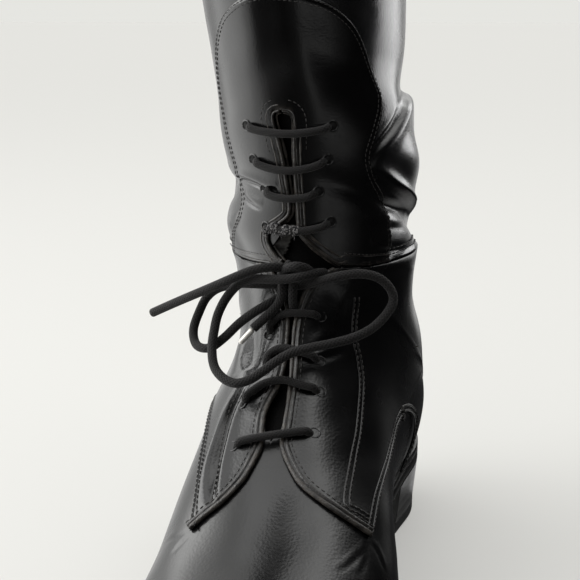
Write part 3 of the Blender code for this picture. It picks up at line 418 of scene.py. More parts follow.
@dataclass(frozen=True)
class BootForm:
    """Outer leather surface from toe tip to collar."""

    last_length: float = 0.2795
    ball_width: float = 0.0992
    shaft_height: float = 0.4720
    heel_height: float = 0.0285
    toe_spring: float = 0.0112
    sole_thickness: float = 0.0085
    feather_gap: float = 0.0006
    seam_height: float = 0.1400
    seam_drop: float = 0.0340
    fold_girth: float = 0.125
    wobble: float = 0.00012
    section_step: float = 2e-3
    side_step: float = 2e-4

    def rows(self, section: Array) -> dict[str, Array]:
        """Section values by column, the table's thousandths turned into metres.

        Args:
            section: fractional section numbers.

        Returns:
            Values by column name.
        """
        scale = np.array([self.last_length, self.shaft_height] * 2 + [self.ball_width] * 4 + [1.0, 1.0]) / 1000.0
        table = np.array(list(SECTIONS.values()), dtype=float) * scale
        return dict(zip(SECTION_COLUMNS, np.moveaxis(smooth_rows(table, section), -1, 0)))

    def sole_line(self, along: Array) -> Array:
        """Height of the sole's underside: cubic steps between named stations, level where two stations agree.

        Args:
            along: distance from the heel back.

        Returns:
            Height over the floor.
        """
        stations = np.array((
            (0.000, self.heel_height), (0.107, self.heel_height - 0.0002), (0.215, 0.0258), (0.322, 0.0195),
            (0.429, 0.0115), (0.537, 0.0045), (0.615, 0.0010), (0.665, 0.0), (0.766, 0.0), (0.809, 0.0004),
            (0.877, 0.0028), (0.948, 0.0066), (1.020, self.toe_spring)))
        place, height = stations[:, 0] * self.last_length, stations[:, 1]
        slope = np.gradient(height, place)
        level = np.flatnonzero(np.diff(height) == 0.0)
        slope[level] = 0.0
        slope[level + 1] = 0.0
        along = np.clip(np.asarray(along, dtype=float), place[0], place[-1])
        row = np.clip(np.searchsorted(place, along, side="right") - 1, 0, len(place) - 2)
        step = place[row + 1] - place[row]
        part = (along - place[row]) / step
        rise = (3.0 - 2.0 * part) * part ** 2
        start_pull = part * (1.0 - part) ** 2 * step * slope[row]
        end_pull = part ** 2 * (part - 1.0) * step * slope[row + 1]
        return height[row] * (1.0 - rise) + height[row + 1] * rise + start_pull + end_pull

    def base(self, section: Array, side: Array) -> Array:
        """Point of the surface before folds: an arc from edge over crest to edge, squashed by the tapers.

        Args:
            section: fractional section numbers.
            side: side values.

        Returns:
            Points in the drafting frame.
        """
        section, side = alike(section, side)
        row = self.rows(section)
        on_sole = section <= HEEL_BACK
        feather = self.sole_line(row["edge_along"]) + self.sole_thickness + self.feather_gap
        edge_height = np.where(on_sole, feather, row["edge_height"])
        width = np.maximum(row["half_width"], 1e-6)
        open_share = np.where(on_sole, np.clip(row["edge_half_width"] / width, 0.0, 1.0), 0.0)
        tuck = np.sqrt(1.0 - open_share ** 2)
        angle = side * (math.pi / 2.0 + np.arcsin(tuck))
        rise = (np.cos(angle) + tuck) / (1.0 + tuck)
        taper = np.where(np.cos(angle) > 0.0, row["crest_taper"], row["edge_taper"])
        across = width * np.sin(angle) * (1.0 - taper * np.cos(angle) ** 2)
        along = row["edge_along"] + (row["crest_along"] - row["edge_along"]) * rise
        height = edge_height + (row["crest_height"] - edge_height) * rise
        centre = row["edge_centre"] + (row["crest_centre"] - row["edge_centre"]) * rise
        return np.stack([centre + across, -along, height], axis=-1)

    def normal(self, section: Array, side: Array) -> Array:
        """Outward direction: cross product of the two parameter directions, forward at the closed toe tip.

        Args:
            section: fractional section numbers.
            side: side values.

        Returns:
            Vectors of length one.
        """
        section, side = alike(section, side)
        up = self.base(section + self.section_step, side) - self.base(section - self.section_step, side)
        round_leg = self.base(section, side + self.side_step) - self.base(section, side - self.side_step)
        normal = np.cross(round_leg, up)
        size = np.linalg.norm(normal, axis=-1, keepdims=True)
        return np.where(size > 1e-14, normal / np.maximum(size, 1e-14), np.array([0.0, -1.0, 0.0]))

    def fold_relief(self, point: Array, side: Array) -> Array:
        """Sum of tilted bell curves, one for each main fold.

        Args:
            point: points of the surface before folds.
            side: their side values.

        Returns:
            Height in metres.
        """
        relief = np.zeros(side.shape)
        for values in FOLDS.values():
            fold = dict(zip(FOLD_COLUMNS, values))
            tilt = math.radians(fold["tilt"])
            round_way = (side - fold["side"]) * self.fold_girth
            up_way = point[..., 2] - fold["height"]
            lengthwise = (round_way * math.cos(tilt) + up_way * math.sin(tilt)) / fold["half_length"]
            crosswise = (up_way * math.cos(tilt) - round_way * math.sin(tilt)) / fold["half_width"]
            relief = relief + fold["depth"] * np.exp(-lengthwise ** 2 - crosswise ** 2)
        return relief

    @cached_property
    def crease_lines(self) -> list[tuple[Crease, Array, Array]]:
        """Each crease with the points of its line and the direction to the left of each step.

        Returns:
            One row for each crease.
        """
        lines = []
        for crease in CREASES.values():
            stops = self.curve(crease.stops, 14)
            line = self.base(*stops.T)
            middle = 0.5 * (stops[:-1] + stops[1:])
            left = unit(np.cross(self.normal(*middle.T), np.diff(line, axis=0)))
            lines.append((crease, line, left))
        return lines

    def crease_relief(self, point: Array) -> Array:
        """Sum of the creases: each is its profile at the distance to its line, faded by a sine toward both ends.

        Args:
            point: points of the surface before folds.

        Returns:
            Height in metres.
        """
        relief = np.zeros(point.shape[:-1])
        for crease, line, left in self.crease_lines:
            reach = 4.5 * crease.half_width
            inside = ((point > line.min(axis=0) - reach) & (point < line.max(axis=0) + reach)).all(axis=-1)
            if not inside.any():
                continue
            spots = point[inside][:, None]
            run = np.diff(line, axis=0)
            part = np.clip(((spots - line[:-1]) * run).sum(-1) / (run * run).sum(-1), 0.0, 1.0)
            gap = spots - line[:-1] - part[..., None] * run
            distance = np.linalg.norm(gap, axis=-1)
            nearest = distance.argmin(axis=1)
            each = np.arange(len(nearest))
            away = (gap[each, nearest] * left[nearest]).sum(-1)
            share = (nearest + part[each, nearest]) / len(run)
            fade = np.sin(np.clip(share, 0.0, 1.0) * math.pi) ** 0.6
            relief[inside] += fade * crease.profile(np.copysign(distance[each, nearest], away))
        return relief

    def wobble_relief(self, point: Array) -> Array:
        """Slight unevenness of worn leather: products of a few long sine waves.

        Args:
            point: points of the surface before folds.

        Returns:
            Height in metres.
        """
        x, y, z = point[..., 0], point[..., 1], point[..., 2]
        waves = (np.sin(170.0 * x + 60.0 * z + 0.4) * np.sin(120.0 * y - 80.0 * z + 1.3)
                 + 0.7 * np.sin(260.0 * z + 90.0 * y + 2.1) * np.sin(210.0 * x - 40.0 * z))
        return self.wobble * waves

    def point(self, section: Array, side: Array, offset: Array | float = 0.0) -> Array:
        """Point at an offset outward from the folded leather.

        Args:
            section: fractional section numbers.
            side: side values.
            offset: distance outward in metres.

        Returns:
            Points in the drafting frame.
        """
        section, side = alike(section, side)
        point = self.base(section, side)
        lift = self.fold_relief(point, side) + self.crease_relief(point) + self.wobble_relief(point)
        return point + self.normal(section, side) * (lift + offset)[..., None]

    def seam_section(self, side: Array, lift: float = 0.0) -> Array:
        """Section where the ankle seam crosses each side value, found by halving.

        Args:
            side: side values.
            lift: height over the seam.

        Returns:
            Section numbers.
        """
        side = np.asarray(side, dtype=float)
        drop = self.seam_drop * ease((np.abs(side) - 0.55) / 0.45)
        target = self.seam_height + lift - drop
        low = np.full(side.shape, ARCH)
        high = np.full(side.shape, COLLAR)
        for _ in range(36):
            middle = 0.5 * (low + high)
            below = self.base(middle, side)[..., 2] < target
            low = np.where(below, middle, low)
            high = np.where(below, high, middle)
        return 0.5 * (low + high)

    def curve(self, stops: Pairs, count: int) -> Array:
        """Evenly spaced (section, side) points along a smooth curve through stops.

        Args:
            stops: (section, side) stops.
            count: number of points wanted.

        Returns:
            (section, side) points.
        """
        dense = smooth_rows(np.array(stops), np.linspace(0.0, len(stops) - 1.0, 400))
        reach = reach_along(self.base(*dense.T))
        return read_at(np.linspace(0.0, reach[-1], count), reach, dense)

    def reaches(self, patch: Array) -> tuple[Array, Array]:
        """Distances over the surface in a (section, side) grid: along each row and up each column.

        Args:
            patch: (section, side) grid.

        Returns:
            Both distances at each point.
        """
        spot = self.base(patch[..., 0], patch[..., 1])
        across = np.cumsum(np.linalg.norm(np.diff(spot, axis=1), axis=-1), axis=1)
        upward = np.cumsum(np.linalg.norm(np.diff(spot, axis=0), axis=-1), axis=0)
        return np.pad(across, ((0, 0), (1, 0))), np.pad(upward, ((1, 0), (0, 0)))

    def beside(self, line: Array, distance: float) -> Array:
        """Shift a (section, side) line sideways on the surface by a distance, to the left of its run.

        Args:
            line: (section, side) points.
            distance: metres to the left of the run, seen from outside.

        Returns:
            Shifted (section, side) points.
        """
        section, side = line.T
        spot = self.base(section, side)
        run = unit(np.gradient(spot, axis=0))
        left = np.cross(self.normal(section, side), run)
        by_section = (self.base(section + 0.01, side) - spot) / 0.01
        by_side = (self.base(section, side + 0.002) - spot) / 0.002
        a, b = (by_section * by_section).sum(-1), (by_section * by_side).sum(-1)
        d = (by_side * by_side).sum(-1)
        p, q = (left * by_section).sum(-1), (left * by_side).sum(-1)
        det = np.maximum(a * d - b * b, 1e-14)
        return np.stack([section + distance * (d * p - b * q) / det, side + distance * (a * q - b * p) / det], axis=-1)


def patch_between(front: Array, outer: Array, slit: Array, back: Array) -> Array:
    """Fill four edge curves: ruled both ways, less the part counted twice.

    Args:
        front: lower edge, from the slit outward.
        outer: outer edge, upward.
        slit: slit edge, upward.
        back: upper edge, from the slit outward.

    Returns:
        Grid of (section, side), rows upward and columns outward.
    """
    across = np.linspace(0.0, 1.0, len(front))[None, :, None]
    upward = np.linspace(0.0, 1.0, len(slit))[:, None, None]
    ruled = (1.0 - upward) * front[None] + upward * back[None]
    lofted = (1.0 - across) * slit[:, None] + across * outer[:, None]
    corners = ((1.0 - upward) * ((1.0 - across) * front[0] + across * front[-1])
               + upward * ((1.0 - across) * back[0] + across * back[-1]))
    return ruled + lofted - corners


@dataclass
class Placing:
    """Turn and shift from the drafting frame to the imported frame."""

    turn: float = math.radians(-4.0)
    shift: Array = field(default_factory=lambda: np.zeros(3))

    def turned(self, points: Array) -> Array:
        """Points turned about the vertical axis."""
        c, s = math.cos(self.turn), math.sin(self.turn)
        return points @ np.array([[c, s, 0.0], [-s, c, 0.0], [0.0, 0.0, 1.0]])

    def __call__(self, points: Array) -> Array:
        """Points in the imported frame."""
        return self.turned(np.asarray(points, dtype=float)) + self.shift


@dataclass
class Faces:
    """Mesh data that pieces collect before they become an object."""

    points: Array
    quads: Array
    looks: Array | None = None
    wear: Array | None = None
    corners_uv: Array | None = None

    def joined(self, other: "Faces") -> "Faces":
        """This mesh and another as one; looks, wear and UV map are kept where both meshes have them.

        Args:
            other: the mesh to add.

        Returns:
            One mesh.
        """

        def both(first: Array | None, second: Array | None) -> Array | None:
            """Two arrays end to end, or nothing where one is missing."""
            return None if first is None or second is None else np.concatenate([first, second])

        return Faces(np.concatenate([self.points, other.points]),
                     np.concatenate([self.quads, other.quads + len(self.points)]),
                     both(self.looks, other.looks), both(self.wear, other.wear),
                     both(self.corners_uv, other.corners_uv))


def merged(parts: list[Faces]) -> Faces:
    """Several meshes as one.

    Args:
        parts: meshes, at least one.

    Returns:
        One mesh.
    """
    whole = parts[0]
    for part in parts[1:]:
        whole = whole.joined(part)
    return whole


def grid_quads(rows: int, columns: int, start: int = 0) -> Array:
    """Quads of a grid of points, facing along row step cross column step turned outward."""
    index = start + np.arange(rows * columns).reshape(rows, columns)
    return np.stack([index[:-1, :-1], index[:-1, 1:], index[1:, 1:], index[1:, :-1]], axis=-1).reshape(-1, 4)


def shell(grids: list[tuple[Array, Array]], wear: list[Array] | None = None, lining: int = 0) -> Faces:
    """Close pairs of outer and inner grids into one wall, welded where the outer grids share points.

    Args:
        grids: pairs of outer and inner point grids, each (rows, columns, 3).
        wear: wear value per outer point, one grid each.
        lining: material index of the inner faces.

    Returns:
        Mesh of outer faces, inner faces and rims.
    """
    outer = np.concatenate([pair[0].reshape(-1, 3) for pair in grids])
    inner = np.concatenate([pair[1].reshape(-1, 3) for pair in grids])
    starts = np.cumsum([0] + [pair[0].shape[0] * pair[0].shape[1] for pair in grids])
    quads = np.concatenate([grid_quads(*pair[0].shape[:2], start) for pair, start in zip(grids, starts)])
    keys = np.round(outer / 2e-7).astype(np.int64)
    _, first, where = np.unique(keys, axis=0, return_index=True, return_inverse=True)
    where = where.ravel()
    quads = where[quads]
    points, inside = outer[first], inner[first]
    count = len(points)
    quads = quads[(quads[:, 0] != quads[:, 2]) & (quads[:, 1] != quads[:, 3])]
    edges = np.concatenate([quads[:, [k, (k + 1) % 4]] for k in range(4)])
    edges = edges[edges[:, 0] != edges[:, 1]]
    code = edges[:, 0] * count + edges[:, 1]
    back = edges[:, 1] * count + edges[:, 0]
    rim = edges[~np.isin(code, back)]
    sides = np.stack([rim[:, 1], rim[:, 0], rim[:, 0] + count, rim[:, 1] + count], axis=-1)
    faces = np.concatenate([quads, quads[:, ::-1] + count, sides])
    looks = np.concatenate([np.zeros(len(quads)), np.full(len(quads), lining), np.zeros(len(sides))]).astype(int)
    worn = None
    if wear is not None:
        flat = np.concatenate([w.reshape(-1) for w in wear])[first]
        worn = np.concatenate([flat, flat])
    return Faces(np.concatenate([points, inside]), faces, looks, worn)


def ring_quads(rings: int, sides: int) -> Array:
    """Quads between closed rings of points, each ring joined to the next.

    Args:
        rings: number of rings.
        sides: points of each ring.

    Returns:
        Quads from the first ring to the last.
    """
    index = np.arange(rings * sides).reshape(rings, sides)
    ahead = np.roll(index, -1, axis=1)
    return np.stack([index[:-1], ahead[:-1], ahead[1:], index[1:]], axis=-1).reshape(-1, 4)


def tube(path: Array, radius: Array | float, sides: int, facing: Array, round_ends: float = 0.0) -> Faces:
    """Carry a circle along a path, closed at both ends.

    Args:
        path: points along the middle.
        radius: radius, or one for each point.
        sides: sides of the circle.
        facing: direction, or one for each point, that the circle's first corner turns to.
        round_ends: length over which each end is rounded off.

    Returns:
        Mesh with a UV map: round the tube once across, and tube widths along.
    """
    path = np.asarray(path, dtype=float)
    reach = reach_along(path)
    radius = np.broadcast_to(np.asarray(radius, dtype=float), (len(path),)).copy()
    if round_ends > 0.0:
        nearest = np.minimum(reach, reach[-1] - reach)
        share = np.clip(nearest / round_ends, 0.0, 1.0)
        radius *= np.sqrt(np.clip(1.0 - (1.0 - share) ** 2, 0.0, 1.0)) * 0.98 + 0.02
    run = unit(np.gradient(path, axis=0))
    facing = np.broadcast_to(np.asarray(facing, dtype=float), path.shape)
    first = unit(facing - (facing * run).sum(-1, keepdims=True) * run)
    second = np.cross(run, first)
    turn = np.linspace(0.0, 2.0 * math.pi, sides + 1)
    ring = np.cos(turn)[None, :, None] * first[:, None] + np.sin(turn)[None, :, None] * second[:, None]
    points = path[:, None] + ring[:, :-1] * radius[:, None, None]
    quads = ring_quads(len(path), sides)
    across = np.broadcast_to(np.arange(sides) / sides, (len(path) - 1, sides))
    low = np.broadcast_to((reach[:-1] / (2.0 * radius.max()))[:, None], across.shape)
    high = np.broadcast_to((reach[1:] / (2.0 * radius.max()))[:, None], across.shape)
    step = 1.0 / sides
    uv = np.stack([np.stack([across, low], -1), np.stack([across + step, low], -1),
                   np.stack([across + step, high], -1), np.stack([across, high], -1)], axis=2).reshape(-1, 2)
    half = np.arange(sides // 2 - 1)
    cap = np.stack([half, sides - 1 - half, sides - 2 - half, half + 1], axis=-1)
    last = cap[:, ::-1] + (len(path) - 1) * sides
    quads = np.concatenate([quads, cap, last])
    uv = np.concatenate([uv, np.zeros((8 * len(cap), 2))])
    return Faces(points.reshape(-1, 3), quads, None, None, uv)


def stitches(spots: Array, runs: Array, normals: Array, stitch: Stitch) -> Faces:
    """Small sunk bars, one for each stitch, with rounded backs.

    Args:
        spots: middle of each stitch on the leather.
        runs: direction of each stitch.
        normals: outward direction at each stitch.
        stitch: size of the stitches.

    Returns:
        Mesh of all stitches.
    """
    width = stitch.width
    along = np.array([-0.5, -0.36, 0.0, 0.36, 0.5]) * stitch.length
    lift = np.array([-0.55, 0.10, 0.30, 0.10, -0.55]) * width
    slim = np.array([0.45, 0.95, 1.0, 0.95, 0.45])
    turn = np.linspace(0.0, 2.0 * math.pi, 7)[:-1]
    local = np.stack([np.repeat(along[:, None], 6, axis=1),
                      slim[:, None] * np.cos(turn) * 0.5 * width,
                      lift[:, None] + slim[:, None] * np.sin(turn) * 0.5 * width], axis=-1).reshape(-1, 3)
    runs = unit(runs)
    normals = unit(normals - (normals * runs).sum(-1, keepdims=True) * runs)
    cross = np.cross(normals, runs)
    basis = np.stack([runs, cross, normals], axis=1)
    points = spots[:, None] + np.einsum("vk,skj->svj", local, basis)
    caps = np.array([[0, 5, 4, 3], [0, 3, 2, 1], [24, 25, 26, 27], [24, 27, 28, 29]])
    one = np.concatenate([ring_quads(5, 6), caps])
    quads = (one[None] + 30 * np.arange(len(spots))[:, None, None]).reshape(-1, 4)
    return Faces(points.reshape(-1, 3), quads)


class Nodes:
    """Short-hand for building the node tree of a material or of the world."""

    def __init__(self, owner: bpy.types.Material | bpy.types.World) -> None:
        """Start the owner's tree with its shader and texture coordinates.

        Args:
            owner: material or world.
        """
        owner.use_nodes = True
        self.owner = owner
        self.tree = owner.node_tree
        self.shader = self.tree.nodes["Background" if isinstance(owner, bpy.types.World) else "Principled BSDF"]
        self.coords = self.tree.nodes.new("ShaderNodeTexCoord")

    def add(self, kind: str, **values: object) -> bpy.types.Node:
        """Add a node and set its properties or sockets by name.

        Args:
            kind: type of the node.
            values: its properties, or its sockets' values.

        Returns:
            The new node.
        """
        node = self.tree.nodes.new(kind)
        for key, value in values.items():
            if hasattr(node, key):
                setattr(node, key, value)
            else:
                node.inputs[key.replace("_", " ").title()].default_value = value
        return node

    def link(self, start: Socket, end: Socket) -> None:
        """Join two sockets."""
        self.tree.links.new(start, end)

    def feed(self, socket: Socket, value: Socket | Triple | float) -> None:
        """Give a socket its value: a link from another socket, a colour or a number.

        Args:
            socket: the socket to feed.
            value: what it gets.
        """
        if isinstance(value, Socket):
            self.link(value, socket)
        else:
            socket.default_value = (*value, 1.0) if isinstance(value, tuple) else value

    def noise(self, scale: float, detail: float = 2.0, stretch: Triple | None = None) -> Socket:
        """Noise on Object coordinates, stretched by a Mapping node where asked.

        Args:
            scale: scale of the noise.
            detail: its octaves.
            stretch: scale along each axis, if not even.

        Returns:
            Noise value.
        """
        node = self.add("ShaderNodeTexNoise", scale=scale, detail=detail)
        source = self.coords.outputs["Object"]
        if stretch is not None:
            mapping = self.add("ShaderNodeMapping")
            mapping.inputs["Scale"].default_value = stretch
            self.link(source, mapping.inputs["Vector"])
            source = mapping.outputs["Vector"]
        self.link(source, node.inputs["Vector"])
        return node.outputs["Fac"]

    def spread(self, value: Socket, low: float, high: float, from_low: float = 0.3, from_high: float = 0.7,
               kind: str = "LINEAR") -> Socket:
        """Map a value from one range to another.

        Args:
            value: value to map.
            low: result at the range's start.
            high: result at its end.
            from_low: start of the range.
            from_high: end of the range.
            kind: how the result runs between them.

        Returns:
            Mapped value.
        """
        node = self.add("ShaderNodeMapRange", interpolation_type=kind)
        for key, number in (("From Min", from_low), ("From Max", from_high), ("To Min", low), ("To Max", high)):
            node.inputs[key].default_value = number
        self.link(value, node.inputs["Value"])
        return node.outputs["Result"]

    def math(self, operation: str, first: Socket, second: Socket | float) -> Socket:
        """Combine two values.

        Args:
            operation: Blender's name of the operation.
            first: first value.
            second: second value.

        Returns:
            Result.
        """
        node = self.add("ShaderNodeMath", operation=operation)
        self.feed(node.inputs[0], first)
        self.feed(node.inputs[1], second)
        return node.outputs["Value"]

    def bump(self, height: Socket, strength: float, distance: float,
             before: Socket | None = None) -> Socket:
        """Bump from a height, on top of an earlier bump.

        Args:
            height: height value.
            strength: strength of the bump.
            distance: depth in metres.
            before: earlier bump.

        Returns:
            Bumped normal.
        """
        node = self.add("ShaderNodeBump")
        node.inputs["Strength"].default_value = strength
        node.inputs["Distance"].default_value = distance
        self.link(height, node.inputs["Height"])
        if before is not None:
            self.link(before, node.inputs["Normal"])
        return node.outputs["Normal"]

    def mix(self, share: Socket, first: Socket | Triple, second: Socket | Triple) -> Socket:
        """Blend two colours by a value.

        Args:
            share: share of the second colour.
            first: first colour.
            second: second colour.

        Returns:
            Colour.
        """
        node = self.add("ShaderNodeMix", data_type="RGBA")
        for index, value in ((0, share), (6, first), (7, second)):
            self.feed(node.inputs[index], value)
        return node.outputs[2]

    def ramp(self, source: Socket, levels: Pairs) -> Socket:
        """Slightly warm grey level at each place along a value.

        Args:
            source: value to read along.
            levels: places and their grey levels.

        Returns:
            Colour.
        """
        node = self.add("ShaderNodeValToRGB")
        elements = node.color_ramp.elements
        node.color_ramp.interpolation = "EASE"
        for place, level in levels:
            elements.new(place).color = (level, level, level * 0.985, 1.0)
        elements.remove(elements[0])
        elements.remove(elements[-1])
        self.link(source, node.inputs["Fac"])
        return node.outputs["Color"]


@dataclass(frozen=True)
class Leather:
    """Leather with fine grain, soft polish and worn edges."""

    name: str
    colour: Triple
    worn: Triple = (0.060, 0.051, 0.042)
    polish: tuple[float, float] = (0.11, 0.21)
    grain: float = 0.06
    grain_scale: float = 1700.0
    rumple: float = 0.016
    specular: float = 0.5

    def build(self) -> bpy.types.Material:
        """Make the material.

        Returns:
            The material.
        """
        nodes = Nodes(bpy.data.materials.new(self.name))
        shader = nodes.shader
        wear = nodes.add("ShaderNodeAttribute", attribute_name="wear")
        patchy = nodes.spread(nodes.noise(420.0, 3.0), 0.2, 1.0, 0.38, 0.62)
        worn = nodes.math("MULTIPLY", wear.outputs["Fac"], patchy)
        nodes.link(nodes.mix(worn, self.colour, self.worn), shader.inputs["Base Color"])
        polish = nodes.spread(nodes.noise(42.0, 4.0), *self.polish)
        dulled = nodes.math("MULTIPLY", worn, 0.30)
        nodes.link(nodes.math("ADD", polish, dulled), shader.inputs["Roughness"])
        shader.inputs["Specular IOR Level"].default_value = self.specular
        pebble = nodes.add("ShaderNodeTexVoronoi", feature="SMOOTH_F1", scale=self.grain_scale)
        nodes.link(nodes.coords.outputs["Object"], pebble.inputs["Vector"])
        rumpled = nodes.bump(nodes.noise(70.0, 3.0, (1.0, 1.0, 1.6)), self.rumple, 0.004)
        grained = nodes.bump(pebble.outputs["Distance"], self.grain, 0.0006, rumpled)
        nodes.link(grained, shader.inputs["Normal"])
        return nodes.owner


@dataclass(frozen=True)
class Cord:
    """Braided lace: two crossing sets of ridges on the tube's own UV map."""

    name: str
    colour: Triple
    light: Triple
    roughness: float = 0.72

    def build(self) -> bpy.types.Material:
        """Make the material.

        Returns:
            The material.
        """
        nodes = Nodes(bpy.data.materials.new(self.name))
        shader = nodes.shader
        source = nodes.coords.outputs["UV"]
        ridges = []
        for slant in (1.0, -1.0):
            split = nodes.add("ShaderNodeSeparateXYZ")
            nodes.link(source, split.inputs["Vector"])
            around = nodes.math("MULTIPLY", split.outputs["X"], 8.0 * 2.0 * math.pi)
            along = nodes.math("MULTIPLY", split.outputs["Y"], slant * 2.4 * 2.0 * math.pi)
            ridges.append(nodes.math("SINE", nodes.math("ADD", around, along), 0.0))
        braid = nodes.math("MAXIMUM", ridges[0], ridges[1])
        share = nodes.spread(braid, 0.0, 1.0, -0.6, 1.0)
        nodes.link(nodes.mix(share, self.colour, self.light), shader.inputs["Base Color"])
        shader.inputs["Roughness"].default_value = self.roughness
        shader.inputs["Specular IOR Level"].default_value = 0.20
        shader.inputs["Sheen Weight"].default_value = 0.06
        shader.inputs["Sheen Roughness"].default_value = 0.5
        fuzz = nodes.bump(nodes.noise(2600.0, 2.0), 0.25, 0.0004)
        nodes.link(nodes.bump(share, 0.55, 0.0006, fuzz), shader.inputs["Normal"])
        return nodes.owner


@dataclass(frozen=True)
class Frayed:
    """Worn-through lace: pale broken threads among dark ones."""

    name: str
    dark: Triple
    pale: Triple

    def build(self) -> bpy.types.Material:
        """Make the material.

        Returns:
            The material.
        """
        nodes = Nodes(bpy.data.materials.new(self.name))
        threads = nodes.noise(1500.0, 4.0)
        nodes.link(nodes.mix(nodes.spread(threads, 0.0, 1.0, 0.47, 0.62), self.dark, self.pale),
                   nodes.shader.inputs["Base Color"])
        nodes.shader.inputs["Roughness"].default_value = 0.85
        nodes.shader.inputs["Specular IOR Level"].default_value = 0.2
        nodes.link(nodes.bump(threads, 0.8, 0.0008), nodes.shader.inputs["Normal"])
        return nodes.owner


@dataclass(frozen=True)
class Plain:
    """Even finish with a slight grain."""

    name: str
    colour: Triple
    roughness: float
    metallic: float = 0.0
    grain: float = 0.0
    grain_scale: float = 900.0
    specular: float = 0.5
    glow: float = 0.0

    def build(self) -> bpy.types.Material:
        """Make the material; its glow is light of its own, in shares of its colour.

        Returns:
            The material.
        """
        nodes = Nodes(bpy.data.materials.new(self.name))
        shader = nodes.shader
        shader.inputs["Base Color"].default_value = (*self.colour, 1.0)
        shader.inputs["Emission Color"].default_value = (*self.colour, 1.0)
        shader.inputs["Emission Strength"].default_value = self.glow
        shader.inputs["Specular IOR Level"].default_value = self.specular
        shader.inputs["Roughness"].default_value = self.roughness
        shader.inputs["Metallic"].default_value = self.metallic
        if self.grain > 0.0:
            nodes.link(nodes.bump(nodes.noise(self.grain_scale, 3.0), self.grain, 0.0006), shader.inputs["Normal"])
        return nodes.owner


class Finishes:
    """Every finish of the boot, built once."""

    def __init__(self) -> None:
        """Build the materials."""
        self.leather = Leather("polished_black", (0.0010, 0.0010, 0.0012), polish=(0.18, 0.30), grain=0.09,
                               rumple=0.030).build()
        self.foot = Leather("foot_black", (0.0010, 0.0010, 0.0011), polish=(0.20, 0.30), grain=0.09,
                            grain_scale=1050.0).build()
        self.facing = Leather("facing_black", (0.0011, 0.0010, 0.0011), polish=(0.16, 0.28), grain=0.08,
                              rumple=0.028).build()
        self.edge = Leather("worn_edge", (0.0020, 0.0018, 0.0017), polish=(0.26, 0.42), grain=0.40).build()
        # The tongue's worn grey shows only on its torn edge, partly as wear and partly as painted light on the raised
        # strip.
        self.tongue = Leather("tongue_black", (0.0012, 0.0011, 0.0011), polish=(0.50, 0.66), grain=0.22, specular=0.06,
                              worn=(0.050, 0.049, 0.046)).build()
        self.lining = Plain("lining_hide", (0.060, 0.046, 0.034), 0.72, grain=0.25).build()
        self.insole = Plain("insole_hide", (0.23, 0.15, 0.09), 0.65, grain=0.25).build()
        self.sole = Leather("sole_edge_black", (0.0075, 0.0070, 0.0068), polish=(0.30, 0.48), grain=0.22).build()
        self.tread = Plain("tread_black", (0.012, 0.012, 0.012), 0.70, grain=0.3).build()
        self.cord = Cord("lace_braid", (0.0006, 0.0005, 0.0005), (0.0095, 0.0087, 0.0087)).build()
        self.frayed = Frayed("lace_frayed", (0.006, 0.006, 0.007), (0.170, 0.165, 0.165)).build()
        self.thread = Plain("seam_thread", (0.020, 0.019, 0.018), 0.55).build()
        self.pale_thread = Plain("worn_thread", (0.019, 0.017, 0.0155), 0.62).build()
        self.metal = Plain("tip_metal", (0.66, 0.64, 0.60), 0.55, metallic=0.75).build()
        # Painted shade: the black disc in each eyelet stands in for the shadowed inside of the hole.
        self.hole_shade = Plain("eyelet_dark", (0.0008, 0.0008, 0.0008), 0.95).build()


